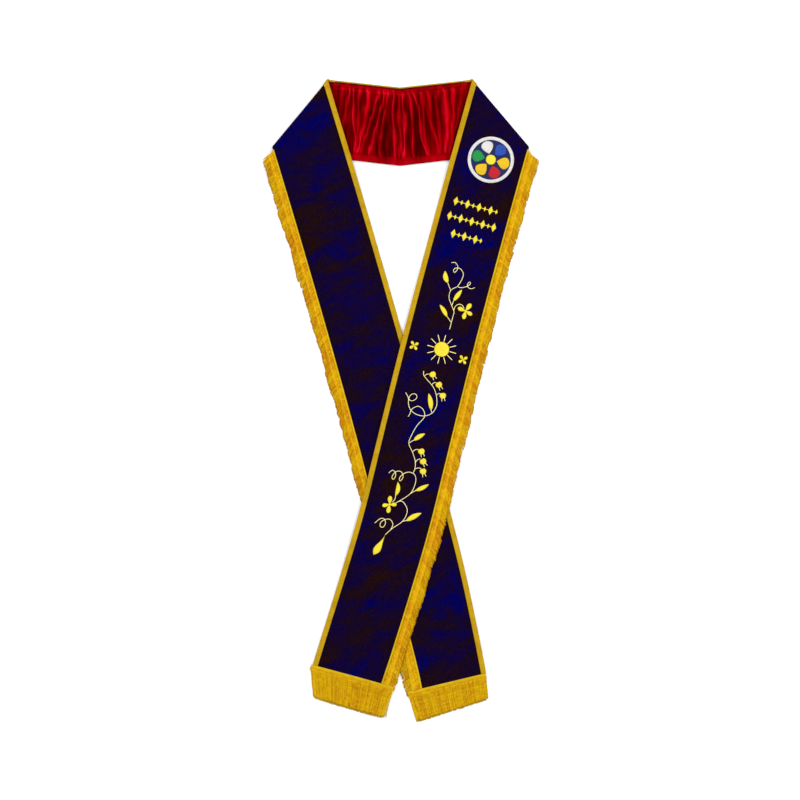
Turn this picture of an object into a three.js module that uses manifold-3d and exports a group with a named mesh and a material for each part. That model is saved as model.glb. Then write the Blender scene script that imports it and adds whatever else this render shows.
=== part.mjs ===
// A regalia sash lying flat, in millimetres, with +Z up and +Y to the back of the neck.
// Two velvet bands meet at the back of the neck, fold over at the shoulders and cross in front.
// Places on a band are given as along (from the neck seam, or from the fold), across (from the
// inner edge) and lift (from its inner face out through the pile).
import * as THREE from 'three';
import Module from 'manifold-3d';
import { mergeVertices } from 'three/addons/utils/BufferGeometryUtils.js';

const wasm = await Module();
wasm.setup();

const gap = 0.3;
const band = {
  width: 102, thick: 1.8, tilt: 6.2, foldOut: 92.2, neckTop: 419.5, foldGap: 3.2, pinch: 4.5,
};
const braid = { width: 7, thick: 1, proud: 2.6 };
const header = { width: 6, endWidth: 7, thick: 1.2, clear: 0.05 };
const skirt = { reach: 13, wave: 1.3, lock: 0.7, endReach: 37, endLock: 1.2, endLocks: 18 };
const lining = { thick: 1, inset: 0.7, hem: 2.6, foldClear: 6, fade: 16, hidden: 0.25, rows: 30 };
const stitch = { start: 2.7, lift: 2.15, thick: 0.7, stem: 0.85, step: 8.5 };
const drape = { margin: 34, fall: 75 };
const rosette = { along: 99.5, across: 52.7, radius: 31, petal: 21, petalWide: 16, hub: 6, centre: 7 };
const sun = { along: 362.5, across: 54.7, radius: 10.3, ray: 19.6, rays: 12, rayWide: 2.6, sides: 16 };

// The band that lies under at the crossing is on the left, the one over it on the right.
// The leans of the end fringe are those of its inner and outer side, in degrees.
const underBand = { side: -1, length: 836.7, innerLean: 4, outerLean: 17 };
const overBand = { side: 1, length: 824.7, innerLean: -3, outerLean: 18 };

// How far each front panel leans from straight down, in degrees, along it from the fold.
const underLeans = [
  { along: 0, lean: 16.8 }, { along: 90, lean: 16.8 }, { along: 250, lean: 16.2 },
  { along: 420, lean: 15.4 }, { along: 560, lean: 14.6 }, { along: 640, lean: 14.4 },
  { along: 720, lean: 12.2 }, { along: 834, lean: 10.5 },
];
const overLeans = [
  { along: 0, lean: 15.6 }, { along: 90, lean: 15.6 }, { along: 250, lean: 15.0 },
  { along: 430, lean: 13.9 }, { along: 560, lean: 13.6 }, { along: 640, lean: 16.5 },
  { along: 740, lean: 17.5 }, { along: 822, lean: 16.8 },
];

// The satin's gathers, as ridges that run across the band, along it from the neck seam.
const underGathers = [
  { along: 1, height: 1.4, width: 2.4, lean: -0.11 }, { along: 9, height: 2.0, width: 2.6, lean: -0.11 },
  { along: 16, height: 1.5, width: 2.4, lean: 0.02 }, { along: 20.5, height: 2.0, width: 2.6, lean: 0.1 },
  { along: 27, height: 1.6, width: 2.4, lean: 0.18 }, { along: 39.5, height: 2.0, width: 3.4, lean: 0.09 },
  { along: 52, height: 1.3, width: 2.6, lean: 0.0 }, { along: 62, height: 1.9, width: 2.6, lean: -0.1 },
  { along: 67, height: 1.7, width: 2.8, lean: 0.04 }, { along: 78, height: 1.5, width: 3.0, lean: 0.0 },
];
const overGathers = [
  { along: 4.8, height: 2, width: 2.8, lean: -0.11 }, { along: 11.5, height: 1.6, width: 2.2, lean: -0.03 },
  { along: 16.5, height: 2.0, width: 2.6, lean: 0.09 }, { along: 25, height: 1.2, width: 3.2, lean: 0.02 },
  { along: 33, height: 1.5, width: 3.8, lean: 0.08 }, { along: 48, height: 1.0, width: 3.6, lean: -0.06 },
  { along: 61, height: 2.0, width: 4.2, lean: -0.11 }, { along: 72, height: 1.7, width: 2.6, lean: -0.16 },
  { along: 84, height: 1.6, width: 2.8, lean: -0.28 },
];

// The embroidery, each place along the panel, counted from a little past the fold, and across it
// from the inner edge.
const upperStems = [
  [[333, 58], [315, 58], [305, 55], [294, 48], [284, 47]],
  [[284, 47], [275, 54], [266, 57], [255, 56], [250, 50]],
  [[250, 50], [255, 44.5], [258, 47], [252, 48.5], [246.5, 46], [245.5, 38.5]],
  [[275, 54], [275, 61], [271, 66.5], [266, 68.5]],
  [[266, 68.5], [270, 70], [273, 67.5], [274, 72], [270, 77]],
  [[307, 55.6], [300, 59.5], [297.5, 64], [301, 70]],
  [[284, 47], [273, 39.5]], [[302, 53.2], [294, 54.5]], [[323, 58], [317, 50]],
];
const upperLeaves = [
  { along: 274, across: 40.3, toAlong: 259, toAcross: 33, width: 6.5 },
  { along: 295.5, across: 54, toAlong: 278.5, toAcross: 61, width: 6 },
  { along: 318.5, across: 51.5, toAlong: 306, toAcross: 37.5, width: 6.2 },
];
const upperFlowers = [{ along: 304.5, across: 73, petal: 9.6, turn: 20 }];
const lowerStems = [
  [[396.6, 38], [408, 47], [415, 56.5], [423, 63], [433, 66], [443, 66], [451, 62], [455, 55]],
  [[455, 55], [454.6, 47], [452, 37], [447, 31], [441, 28.5], [431, 23.6]],
  [[441, 28.5], [441, 35], [436, 38], [431, 35.5]], [[431, 35.5], [431, 30], [437, 27]],
  [[455, 55], [448, 52], [445, 44], [449, 37], [455, 34.5], [460.5, 34]],
  [[455, 55], [471, 47.5], [485, 44], [496, 43.3], [506, 50], [515, 55.6], [525, 58], [533, 57]],
  [[533, 57], [536, 45.6], [546, 44.6], [544, 39], [537.7, 35.4]],
  [[537.7, 35.4], [546.8, 34.2], [545, 29], [538, 26.8], [540, 22]],
  [[533, 57], [540, 63], [550, 64], [561, 60.4], [569.5, 52], [576.5, 44], [582, 36]],
  [[572, 49.5], [577.3, 58.5], [586.5, 62], [597.4, 59.5], [611.7, 47.5], [621, 41.5], [625, 40.5]],
  [[611.7, 47.5], [603.8, 48], [599.8, 40.7], [602.5, 33.4]],
  [[602.5, 33.4], [609, 33], [609.5, 37.5], [605, 36.5], [604, 28], [609.3, 24.2]],
  [[403, 42], [399, 48]], [[413, 53], [410, 59]], [[423, 63], [423, 68]],
  [[503, 48], [502, 58]], [[513, 54.5], [514.5, 64]], [[525, 58], [527, 67]],
  [[493, 43.5], [489, 49]], [[550, 64], [555.5, 67]], [[576, 45], [566, 41.7]], [[592, 61.5], [595, 65.5]],
  [[451, 62], [443.5, 60]],
];
const lowerLeaves = [
  { along: 444.5, across: 60.3, toAlong: 425, toAcross: 52, width: 6.4 },
  { along: 490, across: 48, toAlong: 477.5, toAcross: 60.5, width: 6.2 },
  { along: 555, across: 66.5, toAlong: 543, toAcross: 81, width: 6.4 },
  { along: 567, across: 41.8, toAlong: 550.5, toAcross: 40.3, width: 6 },
  { along: 594.5, across: 64.8, toAlong: 582, toAcross: 81, width: 6.4 },
  { along: 620, across: 41.8, toAlong: 649.4, toAcross: 34.7, width: 9.4 },
];
const lowerFlowers = [{ along: 582, across: 36.5, petal: 9.6, turn: 5 }];
const bells = [
  { along: 398, across: 51.3 }, { along: 409, across: 62.4 }, { along: 423, across: 71.3 },
  { along: 501.7, across: 61.5 }, { along: 515, across: 67.4 }, { along: 527.5, across: 70 },
];
const sideFlowers = [
  { name: 'side_flower_left', along: 366.8, across: 17.8, petal: 6.8, turn: 45 },
  { name: 'side_flower_right', along: 369.1, across: 86, petal: 6.8, turn: 45 },
];
const ornamentRows = [
  { along: 165, from: 19, to: 82, count: 8 },
  { along: 186, from: 16, to: 84, count: 9 },
  { along: 208, from: 27, to: 72, count: 6 },
];
const lozenge = { tall: 12.5, wide: 7, small: 0.55, bar: 0.8 };

const look = (colour, roughness, metalness = 0) =>
  new THREE.MeshStandardMaterial({ color: colour, roughness, metalness, flatShading: true });
const velvetLook = look(0x0b0530, 0.9);
const satinLook = look(0xa8000e, 0.35);
const braidLook = look(0xd2a00a, 0.45, 0.3);
const fringeLook = look(0xe0a80a, 0.55, 0.1);
const threadLook = look(0xffe146, 0.45, 0.1);
const patchLook = look(0xf2f0ea, 0.6);
const petalColours = [0xc8202c, 0xf3c51c, 0x2a4fae, 0xf4f2ee, 0x1f9a48, 0xf3c51c];

const radians = (degrees) => (degrees * Math.PI) / 180;
const polar = ([along, across], distance, angle) =>
  [along + distance * Math.cos(angle), across + distance * Math.sin(angle)];
const mix = (a, b, share) => a + (b - a) * share;
const clamp = (value) => Math.min(1, Math.max(0, value));
const smooth = (value) => clamp(value) ** 2 * (3 - 2 * clamp(value));

// Columns across the band at which its heights are held, from the braid's edge to the fringe's.
const columns = [0, braid.proud, braid.width, 31, 54, 77, band.width - header.width, band.width, 108, 118];
const column = { braid: 0, velvet: 1, braidIn: 2, headerIn: 6, edge: 7, skirt: 8 };
const rowCount = { back: 3, wrap: 6, front: 30, unshear: 10, fringeStart: 0.03 };

const trimTop = band.thick + gap + header.thick;
const lowSag = braid.thick + gap;
const crossHeight = trimTop + gap;
const shoulderHeight = band.thick + band.foldGap;
const tilt = radians(band.tilt);

// The neck part lies on its braid along the inner edge and on the floor further in.
function neckLift(across) {
  return lowSag * clamp((columns[3] - across) / (columns[3] - columns[2]));
}

function leanAt(leans, along) {
  const next = leans.findIndex((row) => row.along > along);
  if (next === -1) return radians(leans.at(-1).lean);
  const before = leans[Math.max(0, next - 1)];
  const after = leans[next];
  const share = clamp((along - before.along) / (after.along - before.along || 1));
  return radians(mix(before.lean, after.lean, share));
}

// Height of a front panel over the neck part: level above it, then falling to the floor.
function heightOverNeck(x, y) {
  const top = band.neckTop + Math.abs(x) * Math.tan(tilt);
  const across = (top - y) * Math.cos(tilt);
  const past = across - band.width - drape.margin;
  return (shoulderHeight + neckLift(across)) * (1 - smooth(past / drape.fall));
}

// Lays out one band. Its front panel starts where the turn round the fold ends.
function layBand({ side, length, innerLean, outerLean }, leans, heightAt) {
  const firstLean = radians(leans[0].lean);
  const foldAngle = (Math.PI / 2 + firstLean - tilt) / 2;
  const crossing = foldAngle + tilt;
  const foldShear = 1 / Math.tan(crossing);
  const foldAlong = band.foldOut / Math.cos(tilt);
  const turnRadius = (band.foldGap + band.thick) / 2;
  const turnLength = (Math.PI * turnRadius) / Math.sin(crossing);
  const corner = { x: band.foldOut, y: band.neckTop + band.foldOut * Math.tan(tilt) };
  const foldRun = { x: Math.cos(foldAngle), y: -Math.sin(foldAngle) };
  const outward = { x: Math.sin(foldAngle), y: Math.cos(foldAngle) };
  const start = {
    x: corner.x + Math.PI * turnRadius * outward.x,
    y: corner.y + Math.PI * turnRadius * outward.y,
  };

  // The front's inner edge, as steps that each follow the lean at their middle.
  function edgeAt(along) {
    const steps = Math.max(1, Math.ceil(along / 15));
    const spot = { ...start, lean: leanAt(leans, along) };
    for (let step = 0; step < steps; step += 1) {
      const lean = leanAt(leans, ((step + 0.5) * along) / steps);
      spot.x -= (Math.sin(lean) * along) / steps;
      spot.y -= (Math.cos(lean) * along) / steps;
    }
    return spot;
  }

  function frontFlat(along, across) {
    const edge = edgeAt(along);
    return { x: edge.x + across * Math.cos(edge.lean), y: edge.y - across * Math.sin(edge.lean) };
  }

  // How far a place on the floor lies outside the front panel and its fringes.
  function distance(x, y) {
    let along = length / 2;
    let across = 0;
    for (let turn = 0; turn < 6; turn += 1) {
      const edge = edgeAt(Math.max(0, along));
      const dx = x - edge.x;
      const dy = y - edge.y;
      along = Math.max(0, along) - dx * Math.sin(edge.lean) - dy * Math.cos(edge.lean);
      across = dx * Math.cos(edge.lean) - dy * Math.sin(edge.lean);
    }
    const aside = Math.max(0, -across, across - columns.at(-1));
    return Math.hypot(aside, Math.max(0, -along, along - length - skirt.endReach));
  }

  // Rows of the shared grid run square to the seam, then along the fold, then square to the end.
  const rows = [];
  for (let row = 0; row < rowCount.back; row += 1) {
    const share = row / rowCount.back;
    rows.push({ along: mix(gap / 2, foldAlong, share), shear: mix(-Math.tan(tilt), foldShear, share) });
  }
  for (let row = 0; row <= rowCount.wrap; row += 1) {
    rows.push({ along: foldAlong + (turnLength * row) / rowCount.wrap, shear: foldShear });
  }
  const firstFront = rows.length - 1;
  const lastAlong = foldAlong + length - header.endWidth;
  for (let row = 1; row <= rowCount.front; row += 1) {
    const along = mix(foldAlong + turnLength, lastAlong, row / rowCount.front);
    rows.push({ along, shear: foldShear * Math.max(0, 1 - row / rowCount.unshear) });
  }
  rows.push({ along: foldAlong + length, shear: 0 });

  // Heights of the front panel's under side at the shared grid's corners.
  const heights = rows.map((row, index) => columns.map((across) => {
    if (index < firstFront) return 0;
    const spot = frontFlat(row.along + row.shear * across - foldAlong, across);
    return heightAt(side * spot.x, spot.y);
  }));

  function heightOn(row, col) {
    const r = Math.min(Math.floor(row), rows.length - 2);
    const c = Math.min(Math.floor(col), columns.length - 2);
    const a = row - r;
    const b = col - c;
    const near = heights[r];
    const far = heights[r + 1];
    if (a >= b) return near[c] + a * (far[c] - near[c]) + b * (far[c + 1] - far[c]);
    return near[c] + b * (near[c + 1] - near[c]) + a * (far[c + 1] - near[c + 1]);
  }

  function acrossOf(col) {
    const c = Math.min(Math.floor(col), columns.length - 2);
    return mix(columns[c], columns[c + 1], col - c);
  }

  function columnOf(across) {
    const found = columns.findIndex((value) => value > across);
    const c = found === -1 ? columns.length - 2 : Math.max(0, found - 1);
    return c + (across - columns[c]) / (columns[c + 1] - columns[c]);
  }

  function alongOf(row, across) {
    const r = Math.min(Math.floor(row), rows.length - 2);
    const share = row - r;
    return mix(rows[r].along, rows[r + 1].along, share)
      + mix(rows[r].shear, rows[r + 1].shear, share) * across;
  }

  function rowOf(along, across) {
    let r = firstFront;
    while (r < rows.length - 2 && alongOf(r + 1, across) <= along) r += 1;
    const here = alongOf(r, across);
    return r + (along - here) / (alongOf(r + 1, across) - here);
  }

  // A place on the neck part or in the turn round the fold, from plain formulas.
  function backPlace(along, across, lift) {
    const past = (along - foldAlong) * Math.sin(crossing) - across * Math.cos(crossing);
    const level = neckLift(across) + band.thick;
    if (past <= 1e-6) {
      const x = along * Math.cos(tilt) + across * Math.sin(tilt);
      const y = band.neckTop + along * Math.sin(tilt) - across * Math.cos(tilt);
      return new THREE.Vector3(side * x, y, level - lift);
    }
    const angle = Math.min(Math.PI, past / turnRadius);
    const radius = band.foldGap / 2 + lift;
    const run = (along - foldAlong) * Math.cos(crossing) + across * Math.sin(crossing);
    const out = radius * Math.sin(angle);
    return new THREE.Vector3(
      side * (corner.x + run * foldRun.x + out * outward.x),
      corner.y + run * foldRun.y + out * outward.y,
      level + band.foldGap / 2 - radius * Math.cos(angle),
    );
  }

  // A place at a row and column of the shared grid, either of which may be a fraction.
  function place(row, col, lift) {
    const across = acrossOf(col);
    const along = alongOf(row, across);
    if (row <= firstFront) return backPlace(along, across, lift);
    const spot = frontFlat(along - foldAlong, across);
    return new THREE.Vector3(side * spot.x, spot.y, heightOn(row, col) + lift);
  }

  // A place of the embroidery on the front panel.
  function onPanel(along, across, lift) {
    return place(rowOf(along + stitch.start + foldAlong, across), columnOf(across), lift);
  }

  const lastRow = rows.length - 1;
  return { side, innerLean, outerLean, distance, backPlace, place, onPanel, columnOf, foldAlong, foldShear,
    foldCross: Math.sin(crossing), firstFront, lastRow, heightAt };
}

// A closed body between an under and an upper sheet of points, both rows of columns.
function sheetBody(name, material, under, upper, side) {
  const rows = upper.length;
  const cols = upper[0].length;
  const points = [...upper.flat(), ...under.flat()];
  const faces = [];
  const add = (a, b, c) => faces.push(...(side > 0 ? [a, b, c] : [a, c, b]));
  const top = (r, c) => r * cols + c;
  const low = (r, c) => rows * cols + r * cols + c;
  for (let r = 0; r < rows - 1; r += 1) {
    for (let c = 0; c < cols - 1; c += 1) {
      add(top(r, c), top(r + 1, c), top(r + 1, c + 1));
      add(top(r, c), top(r + 1, c + 1), top(r, c + 1));
      add(low(r, c), low(r + 1, c + 1), low(r + 1, c));
      add(low(r, c), low(r, c + 1), low(r + 1, c + 1));
    }
  }
  const wall = (r0, c0, r1, c1) => {
    add(top(r0, c0), low(r0, c0), low(r1, c1));
    add(top(r0, c0), low(r1, c1), top(r1, c1));
  };
  for (let r = 0; r < rows - 1; r += 1) {
    wall(r, 0, r + 1, 0);
    wall(r + 1, cols - 1, r, cols - 1);
  }
  for (let c = 0; c < cols - 1; c += 1) {
    wall(0, c + 1, 0, c);
    wall(rows - 1, c, rows - 1, c + 1);
  }
  const geometry = new THREE.BufferGeometry().setFromPoints(points);
  geometry.setIndex(faces);
  return named(name, geometry, material);
}

function named(name, geometry, material) {
  geometry.computeVertexNormals();
  const mesh = new THREE.Mesh(geometry, material);
  mesh.name = name;
  return mesh;
}

function span(from, to, steps) {
  return Array.from({ length: steps + 1 }, (_, step) => mix(from, to, step / steps));
}

function sheetOn(name, material, lay, rows, cols, under, upper) {
  const sheet = (lift) => rows.map((row) => cols.map((col) => lay.place(row, col, lift(row, col))));
  return sheetBody(name, material, sheet(under), sheet(upper), lay.side);
}

// The velvet, whose outer edge is drawn in at the shoulder fold.
function makeVelvet(name, lay) {
  const cols = columns.map((_, index) => index).slice(column.velvet, column.edge);
  const sheet = (lift) => span(0, lay.lastRow, lay.lastRow).map((row) => {
    const drawnIn = clamp(Math.min(row - rowCount.back + 1, lay.firstFront + 1 - row));
    const edge = lay.columnOf(band.width - band.pinch * drawnIn);
    return [...cols, edge].map((col) => lay.place(row, col, lift));
  });
  return sheetBody(name, velvetLook, sheet(0), sheet(band.thick), lay.side);
}

function makeBraid(name, lay) {
  const rows = span(0, lay.lastRow - 1, lay.lastRow - 1);
  const low = band.thick + gap;
  const cols = [column.braid, column.velvet, column.braidIn];
  return sheetOn(name, braidLook, lay, rows, cols, () => low, () => low + braid.thick);
}

// Side fringe: a header sewn on the velvet's outer edge, and a wavy skirt of locks past it.
function makeSideFringe(name, lay) {
  const first = lay.firstFront + rowCount.fringeStart;
  const rows = [first, ...span(lay.firstFront + 0.5, lay.lastRow - 1, rowCount.front * 2 - 1)];
  const low = band.thick + gap;
  const under = { [column.headerIn]: low, [column.edge]: low };
  const upper = { [column.headerIn]: trimTop, [column.edge]: trimTop, [column.skirt]: trimTop - 0.4 };
  const outer = rows.map((row, index) => {
    const wave = skirt.wave * Math.sin(row * 1.9) * Math.cos(row * 0.7);
    const lock = index % 2 ? skirt.lock : -skirt.lock;
    return lay.columnOf(band.width + skirt.reach + wave + lock);
  });
  const sheet = (lift, edgeLift) => rows.map((row, index) => [
    ...[column.headerIn, column.edge, column.skirt].map((col) => lay.place(row, col, lift[col] ?? 0.1)),
    lay.place(row, outer[index], edgeLift),
  ]);
  return sheetBody(name, fringeLook, sheet(under, 0.1), sheet(upper, 1.7), lay.side);
}

// End fringe: a header across the tail, and locks past it that draw together towards their tips.
function makeEndFringe(name, lay) {
  const cols = span(0, lay.columnOf(band.width + skirt.reach - 2), skirt.endLocks * 2);
  const reaches = [skirt.endReach * 0.3, skirt.endReach];
  const low = band.thick + gap;
  const fall = (col, reach, lift) => {
    const from = lay.place(lay.lastRow, col, 0);
    const lean = radians(mix(lay.innerLean, lay.outerLean, col / cols.at(-1)));
    const x = from.x - reach * Math.sin(lean) * lay.side;
    const y = from.y - reach * Math.cos(lean);
    return new THREE.Vector3(x, y, lay.heightAt(x, y) * (1 - 0.5 * (reach / skirt.endReach)) + lift);
  };
  const headerRows = [lay.lastRow - 1 + header.clear, lay.lastRow];
  const sheet = (headerLift, lifts) => [
    ...headerRows.map((row) => cols.map((col) => lay.place(row, col, headerLift))),
    ...reaches.map((reach, index) => cols.map((col, step) => {
      const lock = step % 2 ? skirt.endLock : 0;
      const tip = index === 1 ? reach - skirt.endLock + lock : reach;
      return fall(col, tip, lifts[index] + (lifts[index] > 1 ? lock * 0.5 : 0));
    })),
  ];
  return sheetBody(name, fringeLook, sheet(low, [0.1, 0.05]), sheet(trimTop, [2.6, 1.6]), lay.side);
}

// How high the gathers stand at a place, fading where the front panel covers them.
function gatherHeight(gathers, along, across) {
  const ridges = gathers.map((row) => {
    const off = (along - row.along - row.lean * across) / row.width;
    return row.height * Math.exp(-off * off);
  });
  const panelEdge = band.foldOut - across * Math.tan(radians(overLeans[0].lean));
  const shown = clamp((panelEdge - along) / lining.fade);
  return Math.max(...ridges) * mix(lining.hidden, 1, shown);
}

function makeLining(name, lay, gathers) {
  const low = -gap - lining.thick;
  const cols = [braid.proud + lining.inset, columns[2], columns[3], 54, 77];
  const end = lay.foldAlong - lining.foldClear / lay.foldCross;
  const hem = (share) => mix(band.width + lining.hem, band.width - lining.inset, share ** 2);
  const rowOfPoints = (share, lift, ripple) => [...cols, hem(share)].map((across) => {
    const along = mix(gap / 2 - across * Math.tan(tilt), end + lay.foldShear * across, share);
    return lay.backPlace(along, across, lift - ripple * gatherHeight(gathers, along, across));
  });
  const sheet = (lift, ripple) => span(0, 1, lining.rows).map((share) => rowOfPoints(share, lift, ripple));
  return sheetBody(name, satinLook, sheet(low, 1), sheet(-gap, 0), lay.side);
}

// Embroidery is drawn in the panel's own plane as prisms, joined, then laid on the velvet. The
// caps of a prism are filled from its first and last corners inward, pair by pair.
function prism(outline, low = stitch.lift, high = stitch.lift + stitch.thick) {
  const turning = THREE.ShapeUtils.area(outline.map(([a, b]) => new THREE.Vector2(a, b)));
  const ring = turning > 0 ? outline : [...outline].reverse();
  const points = ring.flatMap(([along, across]) => [[along, across, low], [along, across, high]]);
  const count = ring.length;
  const faces = [];
  for (let k = 0; k < count; k += 1) {
    const next = (k + 1) % count;
    faces.push(2 * k, 2 * next, 2 * next + 1, 2 * k, 2 * next + 1, 2 * k + 1);
  }
  for (let k = 0; k < (count - 2) / 2; k += 1) {
    const last = count - 1 - k;
    for (const [a, b, c] of [[k, k + 1, last - 1], [k, last - 1, last]]) {
      if (a !== b && b !== c) faces.push(2 * a + 1, 2 * b + 1, 2 * c + 1, 2 * a, 2 * c, 2 * b);
    }
  }
  return new wasm.Manifold(new wasm.Mesh({
    numProp: 3, vertProperties: Float32Array.from(points.flat()), triVerts: Uint32Array.from(faces),
  }));
}

function joined(solids) {
  return solids.reduce((all, solid) => all.add(solid));
}

function layOn(name, material, solid, lay) {
  const raw = solid.getMesh();
  const points = [];
  for (let k = 0; k < raw.vertProperties.length; k += raw.numProp) {
    points.push(lay.onPanel(...raw.vertProperties.slice(k, k + 3)));
  }
  const geometry = new THREE.BufferGeometry().setFromPoints(points);
  geometry.setIndex([...raw.triVerts]);
  return named(name, mergeVertices(geometry, 1e-5), material);
}

// A line of stitches: a ribbon along a smooth curve that doesn't cross itself.
function stemSolid(points) {
  const through = points.map(([along, across]) => new THREE.Vector3(along, across, 0));
  const curve = new THREE.CatmullRomCurve3(through);
  const steps = Math.max(2, Math.round(curve.getLength() / stitch.step));
  const edge = (aside) => span(0, 1, steps).map((share) => {
    const at = curve.getPointAt(share);
    const run = curve.getTangentAt(share);
    return [at.x - run.y * aside, at.y + run.x * aside];
  });
  return prism([...edge(stitch.stem), ...edge(-stitch.stem).reverse()]);
}

// A pointed oval from its base to its tip.
function leafOutline(along, across, toAlong, toAcross, width, fullness = 0.45) {
  const run = [toAlong - along, toAcross - across];
  const length = Math.hypot(...run);
  const aside = [-run[1] / length, run[0] / length];
  const shape = [[0, 0.12], [0.22, 0.75], [fullness, 1], [1, 0.06]];
  const ring = [...shape, ...[...shape].reverse().map(([share, wide]) => [share, -wide])];
  return ring.map(([share, wide]) => [
    along + run[0] * share + (aside[0] * wide * width) / 2,
    across + run[1] * share + (aside[1] * wide * width) / 2,
  ]);
}

function flowerSolids({ along, across, petal, turn }) {
  return [0, 1, 2, 3].map((index) => {
    const angle = radians(turn + index * 90);
    const base = polar([along, across], petal * -0.12, angle);
    const tip = polar([along, across], petal, angle);
    return prism(leafOutline(...base, ...tip, petal * 0.62, 0.6));
  });
}

function bellSolid({ along, across }) {
  return prism([
    [along - 4, across - 2.4], [along - 4.6, across + 1], [along - 1, across + 4],
    [along + 3, across + 4.6], [along + 4.6, across + 1.2], [along + 3.6, across - 3.6],
    [along, across - 4.2],
  ]);
}

function makeSpray(name, stems, leaves, flowers, bellRows, lay) {
  const solids = [
    ...stems.map(stemSolid),
    ...leaves.map((leaf) => prism(
      leafOutline(leaf.along, leaf.across, leaf.toAlong, leaf.toAcross, leaf.width))),
    ...flowers.flatMap(flowerSolids),
    ...bellRows.map(bellSolid),
  ];
  return layOn(name, threadLook, joined(solids), lay);
}

function discOutline(along, across, radius, sides) {
  const turn = (2 * Math.PI) / sides;
  return Array.from({ length: sides }, (_, k) => polar([along, across], radius, turn * k));
}

function makeSun(lay) {
  const middle = [sun.along, sun.across];
  const rays = Array.from({ length: sun.rays }, (_, k) => {
    const angle = (2 * Math.PI * k) / sun.rays;
    const spot = (radius, aside) => polar(polar(middle, radius, angle), aside, angle + Math.PI / 2);
    const [root, half, point] = [sun.radius * 0.8, sun.rayWide / 2, 0.1];
    return prism([spot(root, -half), spot(sun.ray, -point), spot(sun.ray, point), spot(root, half)]);
  });
  const disc = prism(discOutline(sun.along, sun.across, sun.radius, sun.sides));
  return layOn('sun', threadLook, joined([disc, ...rays]), lay);
}

// A row of lozenges, large and small by turns, strung on one thin bar.
function makeOrnamentRow(name, { along, from, to, count }, lay) {
  const marks = Array.from({ length: count }, (_, k) => {
    const size = k % 2 ? lozenge.small : 1;
    const across = mix(from + lozenge.wide / 2, to - lozenge.wide / 2, k / (count - 1));
    const tall = (lozenge.tall * size) / 2;
    const wide = (lozenge.wide * size) / 2;
    return prism([
      [along - tall, across], [along, across + wide], [along + tall, across], [along, across - wide],
    ]);
  });
  const half = lozenge.bar / 2;
  const steps = span(from + lozenge.wide / 2, to - lozenge.wide / 2, count - 1);
  const bars = steps.slice(1).map((end, k) => prism([
    [along - half, steps[k]], [along - half, end], [along + half, end], [along + half, steps[k]],
  ]));
  return layOn(name, threadLook, joined([...marks, ...bars]), lay);
}

// A round patch of six petals on a white backing, each petal a piece of its own.
function makeRosette(lay) {
  const { along, across, radius, petal, petalWide, hub, centre } = rosette;
  const ring = (level) => [1, 0.62].map((share) => discOutline(along, across, radius * share, 24)
    .map(([a, b]) => lay.onPanel(a, b, level)));
  const backing = discBody('rosette_backing', patchLook, [along, across], ring, lay);
  const low = stitch.lift + stitch.thick + gap;
  const petals = petalColours.map((colour, index) => {
    const angle = radians(60 * index + 30);
    const base = polar([along, across], hub + gap + centre * 0.3, angle);
    const tip = polar([along, across], hub + petal, angle);
    const outline = leafOutline(...base, ...tip, petalWide, 0.6);
    const solid = prism(outline, low, low + stitch.thick);
    return layOn(`rosette_petal_${index + 1}`, look(colour, 0.6), solid, lay);
  });
  const hubSolid = prism(discOutline(along, across, centre - gap, 16), low, low + stitch.thick + 0.4);
  return [backing, ...petals, layOn('rosette_centre', threadLook, hubSolid, lay)];
}

// A round body from two rings of points and its middle, over and under.
function discBody(name, material, [along, across], ring, lay) {
  const high = stitch.lift + stitch.thick;
  const [outerTop, innerTop] = ring(high);
  const [outerLow, innerLow] = ring(stitch.lift);
  const points = [...outerTop, ...innerTop, lay.onPanel(along, across, high),
    ...outerLow, ...innerLow, lay.onPanel(along, across, stitch.lift)];
  const count = outerTop.length;
  const half = 2 * count + 1;
  const faces = [];
  for (let k = 0; k < count; k += 1) {
    const n = (k + 1) % count;
    faces.push(k, n, count + n, k, count + n, count + k, count + k, count + n, 2 * count);
    faces.push(half + k, half + count + n, half + n, half + k, half + count + k, half + count + n);
    faces.push(half + count + k, half + 2 * count, half + count + n);
    faces.push(k, half + k, half + n, k, half + n, n);
  }
  const geometry = new THREE.BufferGeometry().setFromPoints(points);
  geometry.setIndex(faces);
  return named(name, geometry, material);
}

const under = layBand(underBand, underLeans, heightOverNeck);
const over = layBand(overBand, overLeans, (x, y) => {
  const past = under.distance(-x, y) - drape.margin;
  return Math.max(heightOverNeck(x, y), crossHeight * (1 - smooth(past / drape.fall)));
});

const sash = new THREE.Group();
for (const [hand, lay, gathers] of [['left', under, underGathers], ['right', over, overGathers]]) {
  sash.add(
    makeVelvet(`velvet_${hand}`, lay),
    makeLining(`lining_${hand}`, lay, gathers),
    makeBraid(`inner_braid_${hand}`, lay),
    makeSideFringe(`side_fringe_${hand}`, lay),
    makeEndFringe(`end_fringe_${hand}`, lay),
  );
}
sash.add(...makeRosette(over));
ornamentRows.forEach((row, index) => sash.add(makeOrnamentRow(`ornament_row_${index + 1}`, row, over)));
sash.add(makeSpray('upper_spray', upperStems, upperLeaves, upperFlowers, [], over));
sash.add(makeSun(over));
sideFlowers.forEach((row) => sash.add(layOn(row.name, threadLook, joined(flowerSolids(row)), over)));
sash.add(makeSpray('lower_spray', lowerStems, lowerLeaves, lowerFlowers, bells, over));

// The origin lies on the floor under the middle of the sash.
const box = new THREE.Box3().setFromObject(sash);
const middle = box.getCenter(new THREE.Vector3());
sash.position.set(-middle.x, -middle.y, -box.min.z);

export default sash;
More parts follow.
